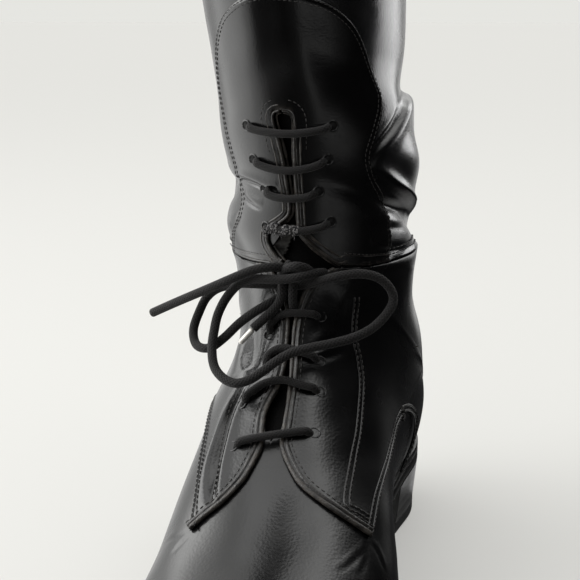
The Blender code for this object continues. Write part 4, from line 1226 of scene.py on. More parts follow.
class Workshop:
    """What every sub-assembly shares: the form, its place, the finishes and the way to make a piece."""

    def __init__(self, form: BootForm, placing: Placing, finishes: Finishes) -> None:
        """Keep the shared tools.

        Args:
            form: the leather surface.
            placing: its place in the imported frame.
            finishes: the materials.
        """
        self.form = form
        self.placing = placing
        self.finishes = finishes

    def piece(self, name: str, faces: Faces, materials: list[bpy.types.Material], slot: str,
              replaced: tuple[str, ...] = (), sharp: float | None = None) -> bpy.types.Object:
        """Turn mesh data into a finished piece on the boot.

        Args:
            name: name of the piece.
            faces: points in the drafting frame and their quads; a repeated corner makes a triangle.
            materials: materials by index.
            slot: the record's material slot; not used.
            replaced: CAD nodes that the piece stands for.
            sharp: angle in degrees past which an edge is sharp.

        Returns:
            The new object.
        """
        quads = faces.quads
        same = quads == np.roll(quads, -1, axis=1)
        keep = same.sum(axis=1) <= 1
        quads, same = quads[keep], same[keep]
        loops = (~same).ravel()
        sizes = (~same).sum(axis=1)
        mesh = bpy.data.meshes.new(name)
        points = self.placing(faces.points).astype(np.float32)
        mesh.vertices.add(len(points))
        mesh.vertices.foreach_set("co", points.ravel())
        mesh.loops.add(int(loops.sum()))
        mesh.loops.foreach_set("vertex_index", quads.ravel()[loops].astype(np.int32))
        mesh.polygons.add(len(quads))
        mesh.polygons.foreach_set("loop_start", np.concatenate([[0], np.cumsum(sizes)[:-1]]).astype(np.int32))
        if faces.looks is not None:
            mesh.polygons.foreach_set("material_index", faces.looks[keep].astype(np.int32))
        if faces.corners_uv is not None:
            uv = faces.corners_uv.reshape(-1, 4, 2)[keep].reshape(-1, 2)[loops]
            mesh.uv_layers.new(name="UVMap").data.foreach_set("uv", uv.astype(np.float32).ravel())
        if faces.wear is not None:
            worn = mesh.attributes.new("wear", "FLOAT", "POINT")
            worn.data.foreach_set("value", faces.wear.astype(np.float32))
        mesh.update(calc_edges=True)
        mesh.validate()
        mesh.shade_smooth()
        if sharp is not None:
            mesh.set_sharp_from_angle(angle=math.radians(sharp))
        for material in materials:
            mesh.materials.append(material)
        item = bpy.data.objects.new(name, mesh)
        bpy.context.scene.collection.objects.link(item)
        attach(item, "root")
        if replaced:
            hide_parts(*replaced)
        LOG.info("%s: %d points, %d faces", name, len(points), len(quads))
        return item

    def seam(self, line: Array, offset: float, stitch: Stitch) -> Faces:
        """Stitches along a (section, side) line.

        Args:
            line: (section, side) points of the seam.
            offset: height of the thread over the base leather.
            stitch: size of the stitches.

        Returns:
            Mesh of the stitches.
        """
        path = self.form.point(*line.T, offset)
        reach = reach_along(path)
        count = max(2, int(reach[-1] / stitch.pitch))
        middle = (np.arange(count) + 0.5) * reach[-1] / count
        place, spots, runs = (read_at(middle, reach, rows) for rows in (line, path, unit(np.gradient(path, axis=0))))
        return stitches(spots, runs, self.form.normal(*place.T), stitch)


    def roll(self, line: Array, offset: float, radius: Array | float, sides: int, rounding: float,
             worn: float | None = None) -> Faces:
        """Rolled edge or ridge of leather: a tube over a (section, side) line.

        Args:
            line: (section, side) points of the line.
            offset: height of the tube's middle over the base leather.
            radius: radius, or one for each point.
            sides: sides of the tube.
            rounding: length over which each end is rounded off.
            worn: how worn the roll is, if it shows wear.

        Returns:
            Mesh of the roll.
        """
        faces = tube(self.form.point(*line.T, offset), radius, sides, self.form.normal(*line.T), rounding)
        if worn is not None:
            faces.wear = np.full(len(faces.points), worn)
        return faces


def half_gap(table: Pairs, place: Array) -> Array:
    """Half gap of an opening at each section."""
    return np.interp(place, *np.array(table).T)


def halves(gap: Array, count: int) -> tuple[Array, Array]:
    """Side values of the lateral and the medial half of rows that open by a half gap.

    Args:
        gap: half gap of each row.
        count: points across each half.

    Returns:
        Side values of the lateral half, then of the medial half.
    """
    share = np.linspace(0.0, 1.0, count) ** 1.2
    medial = gap[:, None] + (1.0 - gap[:, None]) * share
    return -medial[:, ::-1], medial


@dataclass
class Upper:
    """Vamp, quarters and counter in one skin."""

    shop: Workshop
    wall: float = 0.0020
    columns: int = 96
    under: float = 0.0013
    outer_ease: float = 0.05
    slit_ease: float = 0.03
    front_ease: float = 0.25

    def sunk(self, section: Array, side: Array) -> Array:
        """Depth by which the skin lies lower under both overlays, eased in from their outer, slit and front edges.

        Args:
            section: fractional section numbers.
            side: side values.

        Returns:
            Depth in metres.
        """
        share = np.zeros(section.shape)
        for half in Side:
            sign = half.value
            outer, slit, front = (np.array(table[half]).T for table in (FACING_OUTER, FACING_SLIT, FACING_FRONT))
            inside = ease(sign * (np.interp(section, *outer) - side) / self.outer_ease)
            inside = inside * ease(sign * (side - np.interp(section, *slit)) / self.slit_ease)
            behind = section - np.interp(sign * side, sign * front[1], front[0])
            share = share + inside * ease(behind / self.front_ease)
        return self.under * share

    def build(self) -> None:
        """Make the skin: rows by section up to the arch, then evenly up to the ankle seam."""
        form = self.shop.form
        toe_rows = np.concatenate([np.linspace(0.0, 1.0, 14)[:-1] ** 1.3, np.linspace(1.0, 5.0, 30)[:-1],
                                   np.linspace(5.0, 6.6, 40)[:-1], np.linspace(6.6, ARCH, 26)[:-1]])
        share = np.linspace(0.0, 1.0, 80)
        row_place = np.concatenate([toe_rows, ARCH + 8.0 * share])
        walls = []
        for side in halves(half_gap(THROAT_GAP, row_place), self.columns):
            top = form.seam_section(side[len(toe_rows):])
            section = np.vstack([np.repeat(toe_rows[:, None], side.shape[1], axis=1),
                                 ARCH + (top - ARCH) * share[:, None]])
            walls.append((form.point(section, side, -self.sunk(section, side)), form.point(section, side, -self.wall)))
        looks = self.shop.finishes
        self.shop.piece("upper_skin", shell(walls, lining=1), [looks.foot, looks.lining], "black_leather", ("upper",))


@dataclass
class Leg:
    """Leg tube with its collar binding."""

    shop: Workshop
    wall: float = 0.0020
    columns: int = 110
    hem: float = 0.0007
    hem_reach: float = 0.0022
    hem_start: float = 0.165
    hem_rows: tuple[float, float] = (0.0028, 0.0050)
    binding_radius: float = 0.0016
    collar_seam: float = 0.10

    def build(self) -> None:
        """Make the leg, its collar and its seams."""
        self.build_skin()
        self.build_collar()
        self.build_hem_seams()

    def build_skin(self) -> None:
        """Leg tube: fine rows through the worn ankle, longer ones up the plain calf; the hem swells a little."""
        form = self.shop.form
        front = float(form.seam_section(np.array(0.0)))
        rows = np.concatenate([np.linspace(front, 19.5, 128)[:-1], np.linspace(19.5, 21.0, 20)[:-1],
                               np.linspace(21.0, COLLAR, 26)])
        share = (rows - front) / (COLLAR - front)
        walls = []
        for side in halves(half_gap(LEG_GAP, rows), self.columns):
            bottom = form.seam_section(side, 0.0003)
            section = bottom + (COLLAR - bottom) * share[:, None]
            height = form.base(section, side)[..., 2]
            swell = self.hem * np.exp(-((height - height[:1]) / self.hem_reach) ** 2)
            walls.append((form.point(section, side, swell), form.point(section, side, -self.wall)))
        looks = self.shop.finishes
        self.shop.piece("leg_skin", shell(walls, lining=1), [looks.leather, looks.lining], "black_leather", ("shaft",))

    def build_collar(self) -> None:
        """Rounded binding over the rim, and the row of stitches below it."""
        form = self.shop.form
        looks = self.shop.finishes
        turn = np.linspace(-1.0, 1.0, 241)
        collar = np.full(turn.shape, COLLAR)
        binding = tube(form.point(collar, turn, -0.5 * self.wall), self.binding_radius, 10, form.normal(collar, turn))
        self.shop.piece("collar_binding", binding, [looks.leather], "black_leather")
        line = np.stack([np.full(turn.shape, COLLAR - self.collar_seam), turn], axis=-1)
        self.shop.piece("collar_stitching", self.shop.seam(line, 0.0001, COLLAR_STITCH), [looks.thread],
                        "black_leather")

    def build_hem_seams(self) -> None:
        """Two rows of stitches over the ankle seam, on both sides of the panel."""
        form = self.shop.form
        side = np.linspace(self.hem_start, 1.0, 140)
        rows = [self.shop.seam(np.stack([form.seam_section(side, lift), sign * side], axis=-1), 0.0002, HEM_STITCH)
                for sign in (1.0, -1.0) for lift in self.hem_rows]
        self.shop.piece("ankle_stitching", merged(rows), [self.shop.finishes.thread], "black_leather")


@dataclass
class Tongue:
    """Sheet behind both lacings."""

    shop: Workshop
    depth: float = 0.0029
    thickness: float = 0.0016

    def build(self) -> None:
        """Make the sheet from its half width along the crest."""
        form = self.shop.form
        place, width = np.array(TONGUE_WIDTH).T
        rows = np.linspace(place[0], place[-1], 120)
        side = np.interp(rows, place, width)[:, None] * np.linspace(-1.0, 1.0, 40)
        section = np.repeat(rows[:, None], side.shape[1], axis=1)
        wall = (form.point(section, side, -self.depth), form.point(section, side, -self.depth - self.thickness))
        self.shop.piece("tongue_sheet", shell([wall]), [self.shop.finishes.tongue], "tongue_leather", ("tongue",))
        self.build_torn_edge()

    def build_torn_edge(self) -> None:
        """Worn strip of the tongue beside the lateral flap, paler toward its free edge: partly wear, partly painted
        light on its raised part. Its free edge wanders by a sum of sines.
        """
        form = self.shop.form
        rows = np.linspace(14.35, 16.0, 90)
        free = np.interp(rows, (14.35, 14.70, 15.30, 15.75, 16.0), (-0.050, -0.028, -0.012, 0.004, 0.010))
        free = free + 0.003 * np.sin(31.0 * rows) + 0.002 * np.sin(83.0 * rows + 1.0)
        share = np.linspace(0.0, 1.0, 24)
        side = -0.13 + (free[:, None] + 0.13) * share
        section = np.repeat(rows[:, None], len(share), axis=1)
        lift = -0.0011 + 0.0004 * np.sin(9.0 * rows[:, None] + 5.0 * share) + 0.0005 * share
        # Paler toward the free edge: partly wear, partly painted light where the strip is raised.
        wear = np.broadcast_to(0.25 + 0.45 * share ** 2, side.shape)
        wall = (form.point(section, side, lift), form.point(section, side, lift - 0.0009))
        self.shop.piece("tongue_torn_edge", shell([wall], [wear]), [self.shop.finishes.tongue], "tongue_leather")


@dataclass
class Facing:
    """Quarter lapped over the vamp on one side, with its rolled edge and seams."""

    shop: Workshop
    side: Side
    thickness: float = 0.0017
    underside: float = 0.0006
    fade: float = 0.0022
    crisp: float = 0.0010
    wear: float = 0.30
    bead: float = 0.0010
    rolls: tuple[tuple[float, float, float, float], ...] = ((0.0, 0.62, 1.0, 0.55), (0.0019, 0.72, 0.95, 0.15))
    edge_seam: float = 0.0036
    outer_inset: float = 0.0022
    seam_gap: float = 0.0011
    ridge_radius: float = 0.00058
    columns: int = 84
    rows: int = 170

    @property
    def word(self) -> str:
        """The side's name, as the pieces carry it."""
        return self.side.name.lower()

    def grid(self) -> Array:
        """(section, side) grid of the overlay, from its front edge up to the ankle seam.

        Returns:
            Grid, rows upward.
        """
        form = self.shop.form
        front = form.curve(FACING_FRONT[self.side], self.columns)
        slit = form.curve(FACING_SLIT[self.side], self.rows)
        outer = form.curve(FACING_OUTER[self.side], self.rows)
        across = np.linspace(slit[-1, 1], outer[-1, 1], self.columns)
        back = np.stack([form.seam_section(across, -0.0003), across], axis=-1)
        slit[-1] = back[0]
        outer[-1] = back[-1]
        patch = patch_between(front, outer, slit, back)
        return patch[:, ::-1] if self.side is Side.LATERAL else patch

    def build(self) -> None:
        """Make overlay, rolled edge and stitching."""
        form = self.shop.form
        patch = self.grid()
        section, side = patch[..., 0], patch[..., 1]
        reach, rise = form.reaches(patch)
        from_slit, from_outer = reach, reach[:, -1:] - reach
        if self.side is Side.LATERAL:
            from_slit, from_outer = from_outer, from_slit
        edge_fade = ease(from_outer / self.fade)
        up_share = np.linspace(0.0, 1.0, len(patch))[:, None]
        flatten = 1.0 - 0.75 * ease((up_share - 0.45) / 0.3) * ease((0.030 - from_outer) / 0.030)
        crisp = np.minimum(ease(from_slit / self.crisp), ease(rise / self.crisp))
        height = self.thickness * (0.08 + 0.92 * edge_fade) * flatten * (0.45 + 0.55 * crisp)
        worn = self.wear * np.exp(-(np.minimum(from_slit, rise) / self.fade) ** 2)
        wall = (form.point(section, side, height), form.point(section, side, np.full(height.shape, -self.underside)))
        self.shop.piece(f"facing_{self.word}_skin", shell([wall], [worn]), [self.shop.finishes.foot],
                        "facing_leather", (f"facing_{self.word}",))
        self.build_edges()
        self.build_seams()

    def edge_line(self) -> Array:
        """(section, side) line of the free edge: along the front to the slit, then up the slit.

        Returns:
            (section, side) points.
        """
        form = self.shop.form
        front = form.curve(FACING_FRONT[self.side], 90)[::-1]
        slit = form.curve(FACING_SLIT[self.side], 150)
        return softened(np.concatenate([front[:-1], slit]), 320)

    def build_edges(self) -> None:
        """Two rolls side by side along the free edge, the outer one worn, each a round bead that swells and thins."""
        form = self.shop.form
        edge = self.edge_line()
        rolls = []
        for inset, sink, share, worn in self.rolls:
            line = form.beside(edge, -self.side.value * inset)
            swell = self.bead * share * (1.0 + 0.07 * np.sin(np.linspace(0.0, 60.0, len(line)) + 90.0 * inset))
            rolls.append(self.shop.roll(line, self.thickness * sink, swell, 10, 0.0014, worn))
        self.shop.piece(f"facing_{self.word}_edge", merged(rolls), [self.shop.finishes.edge], "facing_leather")

    def build_seams(self) -> None:
        """Stitch rows of the edge and of both double seams, with a ridge of leather between each pair."""
        form = self.shop.form
        looks = self.shop.finishes
        sign = self.side.value
        height = self.thickness
        rows = [self.shop.seam(form.beside(self.edge_line(), -sign * self.edge_seam), height, EDGE_STITCH)]
        inner = form.curve(FACING_SEAM[self.side], 220)
        outer = form.curve(FACING_OUTER[self.side][:OUTER_SEAM_STOPS], 160)
        if self.side is Side.MEDIAL:
            outer = np.concatenate([outer[:-12], form.curve(OUTER_PEAK, 60)])
            outer = smooth_rows(outer, np.linspace(0.0, len(outer) - 1.0, 220))
        outer = form.beside(outer, sign * self.outer_inset)
        ridges = []
        for seam, lift in ((inner, height), (outer, height * 0.92)):
            ridged = seam is outer or self.side is Side.MEDIAL
            for gap in (-self.seam_gap, self.seam_gap):
                line = form.beside(seam, gap)
                rows.append(self.shop.seam(line, lift + 0.0003 * ridged, DOUBLE_STITCH))
                if ridged:
                    ridges.append(self.shop.roll(line, lift - 0.00025, self.ridge_radius, 8, 0.0010))
        self.shop.piece(f"facing_{self.word}_ridges", merged(ridges), [looks.foot], "facing_leather")
        self.shop.piece(f"facing_{self.word}_stitching", merged(rows), [looks.pale_thread], "facing_leather")


@dataclass
class LegFacing:
    """Round-topped front panel of the leg, slit in the middle, with turned edges."""

    shop: Workshop
    thickness: float = 0.0014
    underside: float = 0.0005
    fade: float = 0.0016
    crisp: float = 0.0010
    wear: float = 0.3
    wear_reach: float = 0.0020
    double_seam: tuple[float, float] = (0.0012, 0.0030)
    flap_seam: float = 0.0046
    hem_seam: float = 0.0030
    hem_end: float = 0.33
    columns: int = 72
    rows: int = 190
    rolls: tuple[tuple[float, float, float, float], ...] = (
        (0.0, 0.62, 0.00085, 0.35), (0.0024, 0.80, 0.00055, 0.50), (-0.0011, -0.70, 0.00060, 0.80))

    def hem_line(self, across: Array, sign: float) -> Array:
        """(section, side) line of the flap's lower edge, lifted beside the notch on the medial side.

        Args:
            across: side values.
            sign: the side's sign.

        Returns:
            (section, side) points.
        """
        place, lift = np.array(HEM_LIFT).T
        rise = np.interp(np.abs(across), place, lift) * (0.9 if sign > 0 else 0.3)
        low = self.shop.form.seam_section(across, 0.0006)
        high = self.shop.form.seam_section(across, 0.0076)
        return np.stack([low + (high - low) * rise / 0.0070, across], axis=-1)

    def half(self, half: Side) -> tuple[tuple[Array, Array], Array]:
        """One half of the panel: outer and inner grid of points, and the wear of the outer ones.

        Args:
            half: which half.

        Returns:
            Both grids as a pair, then the wear.
        """
        form = self.shop.form
        slit = form.curve(PANEL_SLIT[half], self.rows)
        outer = form.curve(PANEL_OUTER[half], self.rows)
        front = self.hem_line(np.linspace(slit[0, 1], outer[0, 1], self.columns), half.value)
        slit[0] = front[0]
        outer[0] = front[-1]
        middle = slit[-1] + (outer[-1] - slit[-1]) * np.linspace(0.0, 1.0, self.columns)[:, None]
        patch = patch_between(front, outer, slit, middle)
        section, side = patch[..., 0], patch[..., 1]
        reach, rise = form.reaches(patch)
        height = self.thickness * (0.15 + 0.85 * ease((reach[:, -1:] - reach) / self.fade))
        height = height * (0.5 + 0.5 * np.minimum(ease(reach / self.crisp), ease(rise / self.crisp)))
        worn = self.wear * np.exp(-(np.minimum(reach, rise) / self.wear_reach) ** 2)
        outside = form.point(section, side, height)
        inside = form.point(section, side, np.full(height.shape, -self.underside))
        if half is Side.LATERAL:
            outside, inside, worn = outside[:, ::-1], inside[:, ::-1], worn[:, ::-1]
        return (outside, inside), worn

    def build_edge(self, half: Side) -> list[Faces]:
        """Rolls along the hem and up the slit of one half, which swell and thin.

        Args:
            half: which half.

        Returns:
            The half's rows of stitches: the double seam, then those beside the slit's top and the hem.
        """
        form = self.shop.form
        sign = half.value
        edge = form.curve(PANEL_SLIT[half], 240)
        hem = self.hem_line(np.linspace(self.hem_end * sign, edge[0, 1], 60), sign)
        edge[0] = hem[-1]
        line = softened(np.concatenate([hem[:-1], edge]), 300)
        share = np.linspace(0.0, 1.0, len(line))
        rolls = []
        for inset, offset, radius, worn in self.rolls:
            beside = form.beside(line, -sign * inset)
            swell = radius * (0.62 + 0.38 * ease((share - 0.16) / 0.10))
            swell = swell * (1.0 + 0.10 * np.sin(70.0 * share + inset * 3e3))
            swell = swell * (1.0 - (0.60 if sign > 0 else 0.30) * ease((share - 0.80) / 0.12))
            rolls.append(self.shop.roll(beside, self.thickness * offset, swell, 10, 0.0010, worn))
        self.shop.piece(f"leg_slit_edge_{half.name.lower()}", merged(rolls), [self.shop.finishes.edge],
                        "facing_leather")
        double = form.curve(PANEL_OUTER[half], 260)
        rows = [form.beside(double, sign * gap) for gap in self.double_seam]
        rows += [form.beside(line[-62:-6], -sign * self.flap_seam), form.beside(hem, -sign * self.hem_seam)]
        return [self.shop.seam(row, self.thickness, PANEL_STITCH) for row in rows]

    def build(self) -> None:
        """Make both halves, the rolled edges and the seams."""
        looks = self.shop.finishes
        walls, wear = zip(*(self.half(half) for half in Side))
        seams = [row for half in Side for row in self.build_edge(half)]
        self.shop.piece("leg_panel_skin", shell(list(walls), list(wear)), [looks.facing], "facing_leather",
                        ("shaft_facing",))
        self.shop.piece("leg_panel_stitching", merged(seams), [looks.pale_thread], "facing_leather")


def cap_quads(count: int, start: int, up: bool) -> Array:
    """Rungs across a loop that runs from one front corner round the back to the other.

    Args:
        count: points of the loop.
        start: index of its first point.
        up: whether the cap faces up.

    Returns:
        Quads of the cap.
    """
    i = np.arange(count // 2)
    rungs = start + np.stack([i, i + 1, count - 2 - i, count - 1 - i], axis=-1)
    return rungs[:, ::-1] if up else rungs


def stacked(loops: list[Array]) -> Faces:
    """Close a pile of loops with rungs below and above.

    Args:
        loops: loops of equal length from the lowest up, each (points, 3).

    Returns:
        Mesh of the sides and both ends.
    """
    count = len(loops[0])
    sides = ring_quads(len(loops), count)[:, [1, 0, 3, 2]]
    below = cap_quads(count, 0, False)
    above = cap_quads(count, (len(loops) - 1) * count, True)
    return Faces(np.concatenate(loops), np.concatenate([sides, below, above]))


@dataclass
class Bottom:
    """Outsole with welt, heel, top piece and insole."""

    shop: Workshop
    thickness: float = 0.0085
    top_piece: float = 0.0060
    heel_taper: float = 0.0020
    insole_thickness: float = 0.0025
    lifts: int = 4
    lift_groove: float = 0.00010
    welt_seam: float = 0.0021
    welt_end: float = 9.2

    def loop(self, sections: Array, margin: Array) -> Array:
        """Outline beside the feather line: lateral side to the heel back, then the medial side forward.

        Args:
            sections: section numbers from front to back.
            margin: distance outside the feather line at each section.

        Returns:
            Points of the outline on the floor.
        """
        form = self.shop.form
        lateral = form.base(sections, -1.0)[:, :2]
        medial = form.base(sections, 1.0)[::-1, :2][1:]
        line = np.vstack([lateral, medial])
        ahead = np.roll(line, -1, axis=0)
        behind = np.roll(line, 1, axis=0)
        if sections[0] == 0.0:
            ahead[-1] = line[1]
            behind[0] = line[-2]
        else:
            behind[0] = 2.0 * line[0] - line[1]
            ahead[-1] = 2.0 * line[-1] - line[-2]
        run = unit(ahead - behind)
        out = np.stack([-run[:, 1], run[:, 0]], axis=-1)
        widths = np.concatenate([margin, margin[::-1][1:]])
        return line + out * widths[:, None]

    @staticmethod
    def margin(sections: Array) -> Array:
        """How far the sole stands out: widest round the toe, close at waist and heel."""
        return np.interp(sections, [0.0, 4.0, 6.0, 8.0, 10.0, HEEL_BACK],
                         [0.0045, 0.0042, 0.0036, 0.0024, 0.0016, 0.0016])

    def heel_outline(self) -> Array:
        """Coarse outline of the top piece, as the solid has it."""
        sections = np.concatenate([np.arange(HEEL_BREAST, HEEL_BACK - 1.0, 0.5), [13.0, 13.35, 13.7, HEEL_BACK]])
        return self.loop(sections, self.margin(sections) - self.heel_taper)

    def sole_sections(self) -> Array:
        """Sections of the sole's outline, closer where it bends."""
        return np.concatenate([np.linspace(0.0, 1.0, 16)[:-1] ** 1.4, np.linspace(1.0, 12.0, 90)[:-1],
                               np.linspace(12.0, HEEL_BACK, 40)])

    def build(self) -> None:
        """Make sole, welt stitches, heel, top piece and insole."""
        self.build_sole()
        self.build_heel()
        self.build_insole()

    def build_sole(self) -> None:
        """Sole: a stack of outlines that follow the sole line, with a groove under the welt."""
        form = self.shop.form
        looks = self.shop.finishes
        sections = self.sole_sections()
        steps = ((0.0010, 0.0), (0.0003, 0.0002), (0.0, 0.0009), (0.0, 0.0026), (0.0, 0.0044), (0.0003, 0.0048),
                 (0.0011, 0.0050), (0.0011, 0.0054), (0.0003, 0.0056), (0.0, 0.0060), (0.0, 0.0076),
                 (0.0003, 0.0083), (0.0010, self.thickness), (0.0030, self.thickness))
        loops = []
        for inset, lift in steps:
            outline = self.loop(sections, self.margin(sections) - inset)
            loops.append(np.column_stack([outline, form.sole_line(-outline[:, 1]) + lift]))
        faces = stacked(loops)
        faces.looks = np.zeros(len(faces.quads), dtype=int)
        count = len(loops[0])
        faces.looks[-2 * (count // 2):-(count // 2)] = 1
        self.shop.piece("sole_and_welt", faces, [looks.sole, looks.tread], "sole_edge", ("outsole",), 38.0)
        welt = sections[sections < self.welt_end]
        line = self.loop(welt, self.margin(welt) - self.welt_seam)
        half = len(welt)
        rows = []
        for part in (line[:half], line[half - 1:]):
            spots = even_path(np.column_stack([part, form.sole_line(-part[:, 1]) + self.thickness + 0.0001]),
                              max(3, int(path_length(part) / WELT_STITCH.pitch)))
            upward = np.tile([0.0, 0.0, 1.0], (len(spots), 1))
            rows.append(stitches(spots, np.gradient(spots, axis=0), upward, WELT_STITCH))
        self.shop.piece("welt_stitching", merged(rows), [looks.thread], "sole_edge")

    def build_heel(self) -> None:
        """Heel: a stack of lifts drawing in toward the floor, each with a fine joint line."""
        form = self.shop.form
        looks = self.shop.finishes
        sections = np.concatenate([np.linspace(HEEL_BREAST, 12.0, 16)[:-1], np.linspace(12.0, HEEL_BACK, 40)])
        upper = self.loop(sections, self.margin(sections))
        lower = self.loop(sections, self.margin(sections) - self.heel_taper)
        groove = self.loop(sections, self.margin(sections) - self.lift_groove) - upper
        top = np.column_stack([upper, form.sole_line(-upper[:, 1]) - 0.0003])
        bottom = np.column_stack([lower, np.full(len(lower), self.top_piece + 0.0003)])
        loops = []
        for k in range(self.lifts):
            for part, sink in ((0.0, 0.5), (0.06, 0.0), (0.5, 0.0), (0.94, 0.0)):
                share = (k + part) / self.lifts
                ring = bottom + (top - bottom) * share
                ring[:, :2] += groove * sink
                loops.append(ring)
        loops.append(top)
        self.shop.piece("heel_lifts", stacked(loops), [looks.sole], "sole_edge", ("heel_block",), 50.0)
        floor = self.loop(sections, self.margin(sections) - self.heel_taper - 0.0006)
        loops = [np.column_stack([floor, np.zeros(len(floor))]), np.column_stack([lower, np.full(len(lower), 0.0008)]),
                 np.column_stack([lower, np.full(len(lower), self.top_piece - 0.0003)]),
                 np.column_stack([floor, np.full(len(floor), self.top_piece)])]
        self.shop.piece("heel_top", stacked(loops), [looks.tread], "heel_rubber", ("heel_top_piece",), 35.0)

    def build_insole(self) -> None:
        """Insole: a thin stack of outlines inside the wall."""
        form = self.shop.form
        sections = self.sole_sections()
        loops = []
        for inset, lift in ((0.0040, 0.0), (0.0042, 0.6 * self.insole_thickness), (0.0046, 0.9 * self.insole_thickness),
                            (0.0056, self.insole_thickness)):
            outline = self.loop(sections, np.full(len(sections), -inset))
            loops.append(np.column_stack([outline, form.sole_line(-outline[:, 1]) + self.thickness + 0.0003 + lift]))
        self.shop.piece("insole_board", stacked(loops), [self.shop.finishes.insole], "insole_leather", ("insole",),
                        40.0)


@dataclass
class Lacing:
    """Lace bars and the bow."""

    shop: Workshop
    radius: float = 0.0019
    taut_radius: float = 0.0016
    rest: float = 0.0017
    dive: float = 0.0036
    bar_start: float = -0.0026
    bar_lift: float = 0.0029
    tip_radius: float = 0.0012
    eyelet_radius: float = 0.0021
    eyelet_rim: float = 0.0004
    sides: int = 14

    def build(self) -> None:
        """Make the bow, then the bars."""
        self.build_bow()
        self.build_bars()

    def build_bars(self) -> None:
        """Each bar lies on the facings and dives into its eyelets: its height eases up over the first millimetres."""
        form = self.shop.form
        looks = self.shop.finishes
        rims = []
        for name, stops in BARS.items():
            line = form.curve(stops, 90)
            section, side = line.T
            flat = form.base(section, side)
            reach = reach_along(flat)
            nearest = np.minimum(reach, reach[-1] - reach)
            rise = np.sqrt(np.clip(ease(nearest / self.dive), 0.0, 1.0))
            lift = self.bar_start + (self.rest + self.taut_radius + self.bar_lift) * rise
            path = form.point(section, side, lift)
            faces = tube(even_path(path, 72), self.taut_radius, self.sides, even_path(form.normal(section, side), 72))
            self.shop.piece(f"{name}_cord", faces, [looks.cord], "lace_cord", (name,))
            for end, next_end in ((line[:1], line[3:4]), (line[-1:], line[-4:-3])):
                rims.append(self.eyelet(end + 0.25 * (end - next_end)))
        self.shop.piece("eyelet_rims", merged(rims), [looks.facing, looks.hole_shade], "facing_leather")
        self.build_frayed_knot()

    def eyelet(self, place: Array) -> Faces:
        """One punched eyelet: a thin ring round a dark disc, both lying on the facing; the black disc is painted shade
        for the inside of the hole.

        Args:
            place: (section, side) of the eyelet, one row.

        Returns:
            Mesh of ring and disc.
        """
        form = self.shop.form
        middle = form.point(*place.T, self.rest - 0.0002)[0]
        out = form.normal(*place.T)[0]
        level = unit(np.cross(out, np.array([0.0, 0.0, 1.0])))
        turn = np.linspace(0.0, 2.0 * math.pi, 33)
        circle = np.cos(turn)[:, None] * level + np.sin(turn)[:, None] * np.cross(out, level)
        ring = tube(middle + self.eyelet_radius * circle, self.eyelet_rim, 8, out)
        ring.looks = np.zeros(len(ring.quads), dtype=int)
        ring.corners_uv = None
        around = circle[:-1] * self.eyelet_radius
        # Painted shade: a black disc where the hole would be, for the shade inside it.
        disc = stacked([middle - 0.0010 * out + around, middle + 0.00012 * out + around])
        disc.looks = np.ones(len(disc.quads), dtype=int)
        return ring.joined(disc)

    def build_frayed_knot(self) -> None:
        """Worn lump on the lowest leg bar: a tube whose middle and radius wander by sines, with short loose threads."""
        form = self.shop.form
        line = form.curve(BARS["lace_bar_leg_4"], 90)[3:50]
        axis = even_path(form.point(*line.T, self.rest + self.taut_radius), 120)
        run = unit(np.gradient(axis, axis=0))
        toward = np.array([0.15, -1.0, 0.25])
        out = unit(toward - (run @ toward)[:, None] * run)
        over = np.cross(run, out)
        share = np.linspace(0.0, 1.0, len(axis))
        wander = 0.0005 * np.sin(13.0 * share + 0.6) + 0.0003 * np.sin(37.0 * share)
        swell = 0.00195 + 0.0003 * np.sin(19.0 * share + 2.0) + 0.00018 * np.sin(53.0 * share)
        parts = [tube(axis + wander[:, None] * over, swell, 16, out, 0.0016)]
        step = np.linspace(0.0, 1.0, 7)[:, None]
        for k in range(26):
            spot = 4 + int(4.3 * k)
            lean = 0.9 * math.sin(2.4 * k) * run[spot] + 0.6 * out[spot] + 1.2 * math.cos(1.7 * k) * over[spot]
            start = axis[spot] + 0.0016 * unit(lean)
            strand = start + step * lean * 0.0016 + step ** 2 * np.array([0.0004 * math.cos(5.0 * k), 0.0, -0.0008])
            parts.append(tube(strand, 0.00016, 6, run[spot]))
        self.shop.piece("lace_frayed_knot", merged(parts), [self.shop.finishes.frayed], "lace_cord")

    def route(self, stops: tuple[Triple, ...], spacing: float = 0.0011) -> Array:
        """Smooth, even route through stops given as (medial, along, height).

        Args:
            stops: stops of the route.
            spacing: distance from point to point.

        Returns:
            Points in the drafting frame.
        """
        points = np.array(stops) * (1.0, -1.0, 1.0)
        dense = smooth_rows(points, np.linspace(0.0, len(points) - 1.0, 60 * len(points)))
        return even_path(dense, max(8, int(path_length(dense) / spacing)))

    def build_bow(self) -> None:
        """Loops, ends and knot, each a tube along its route."""
        looks = self.shop.finishes
        placing = self.shop.placing
        facing = np.array([0.20, -1.0, 0.30])
        knot = self.build_knot()
        tip_route = self.route((TIPPED_END[-1], TIP_END), 0.0006)
        tip = self.shop.piece("lace_tip_sleeve", tube(tip_route, self.tip_radius, self.sides, facing, 0.0005),
                              [looks.metal], "lace_tip_metal", ("lace_tip",))
        cords = (
            ("lace_long_loop", LONG_LOOP, ("lace_loop_long",), "knot", 0.0, [knot]),
            ("lace_short_loop", SHORT_LOOP, ("lace_loop_short",), "knot", 0.0, []),
            ("lace_plain_end", PLAIN_END, ("lace_end_plain",), "bare", 0.0009, []),
            ("lace_tipped_end", TIPPED_END, ("lace_end_tipped",), "fitting", 0.0, [tip]),
        )
        for name, stops, replaced, far_end, rounding, pieces in cords:
            route = self.route(stops)
            faces = tube(route, self.radius, self.sides, facing, rounding)
            item = self.shop.piece(name, faces, [looks.cord], "lace_cord", replaced)
            path = placing(route)

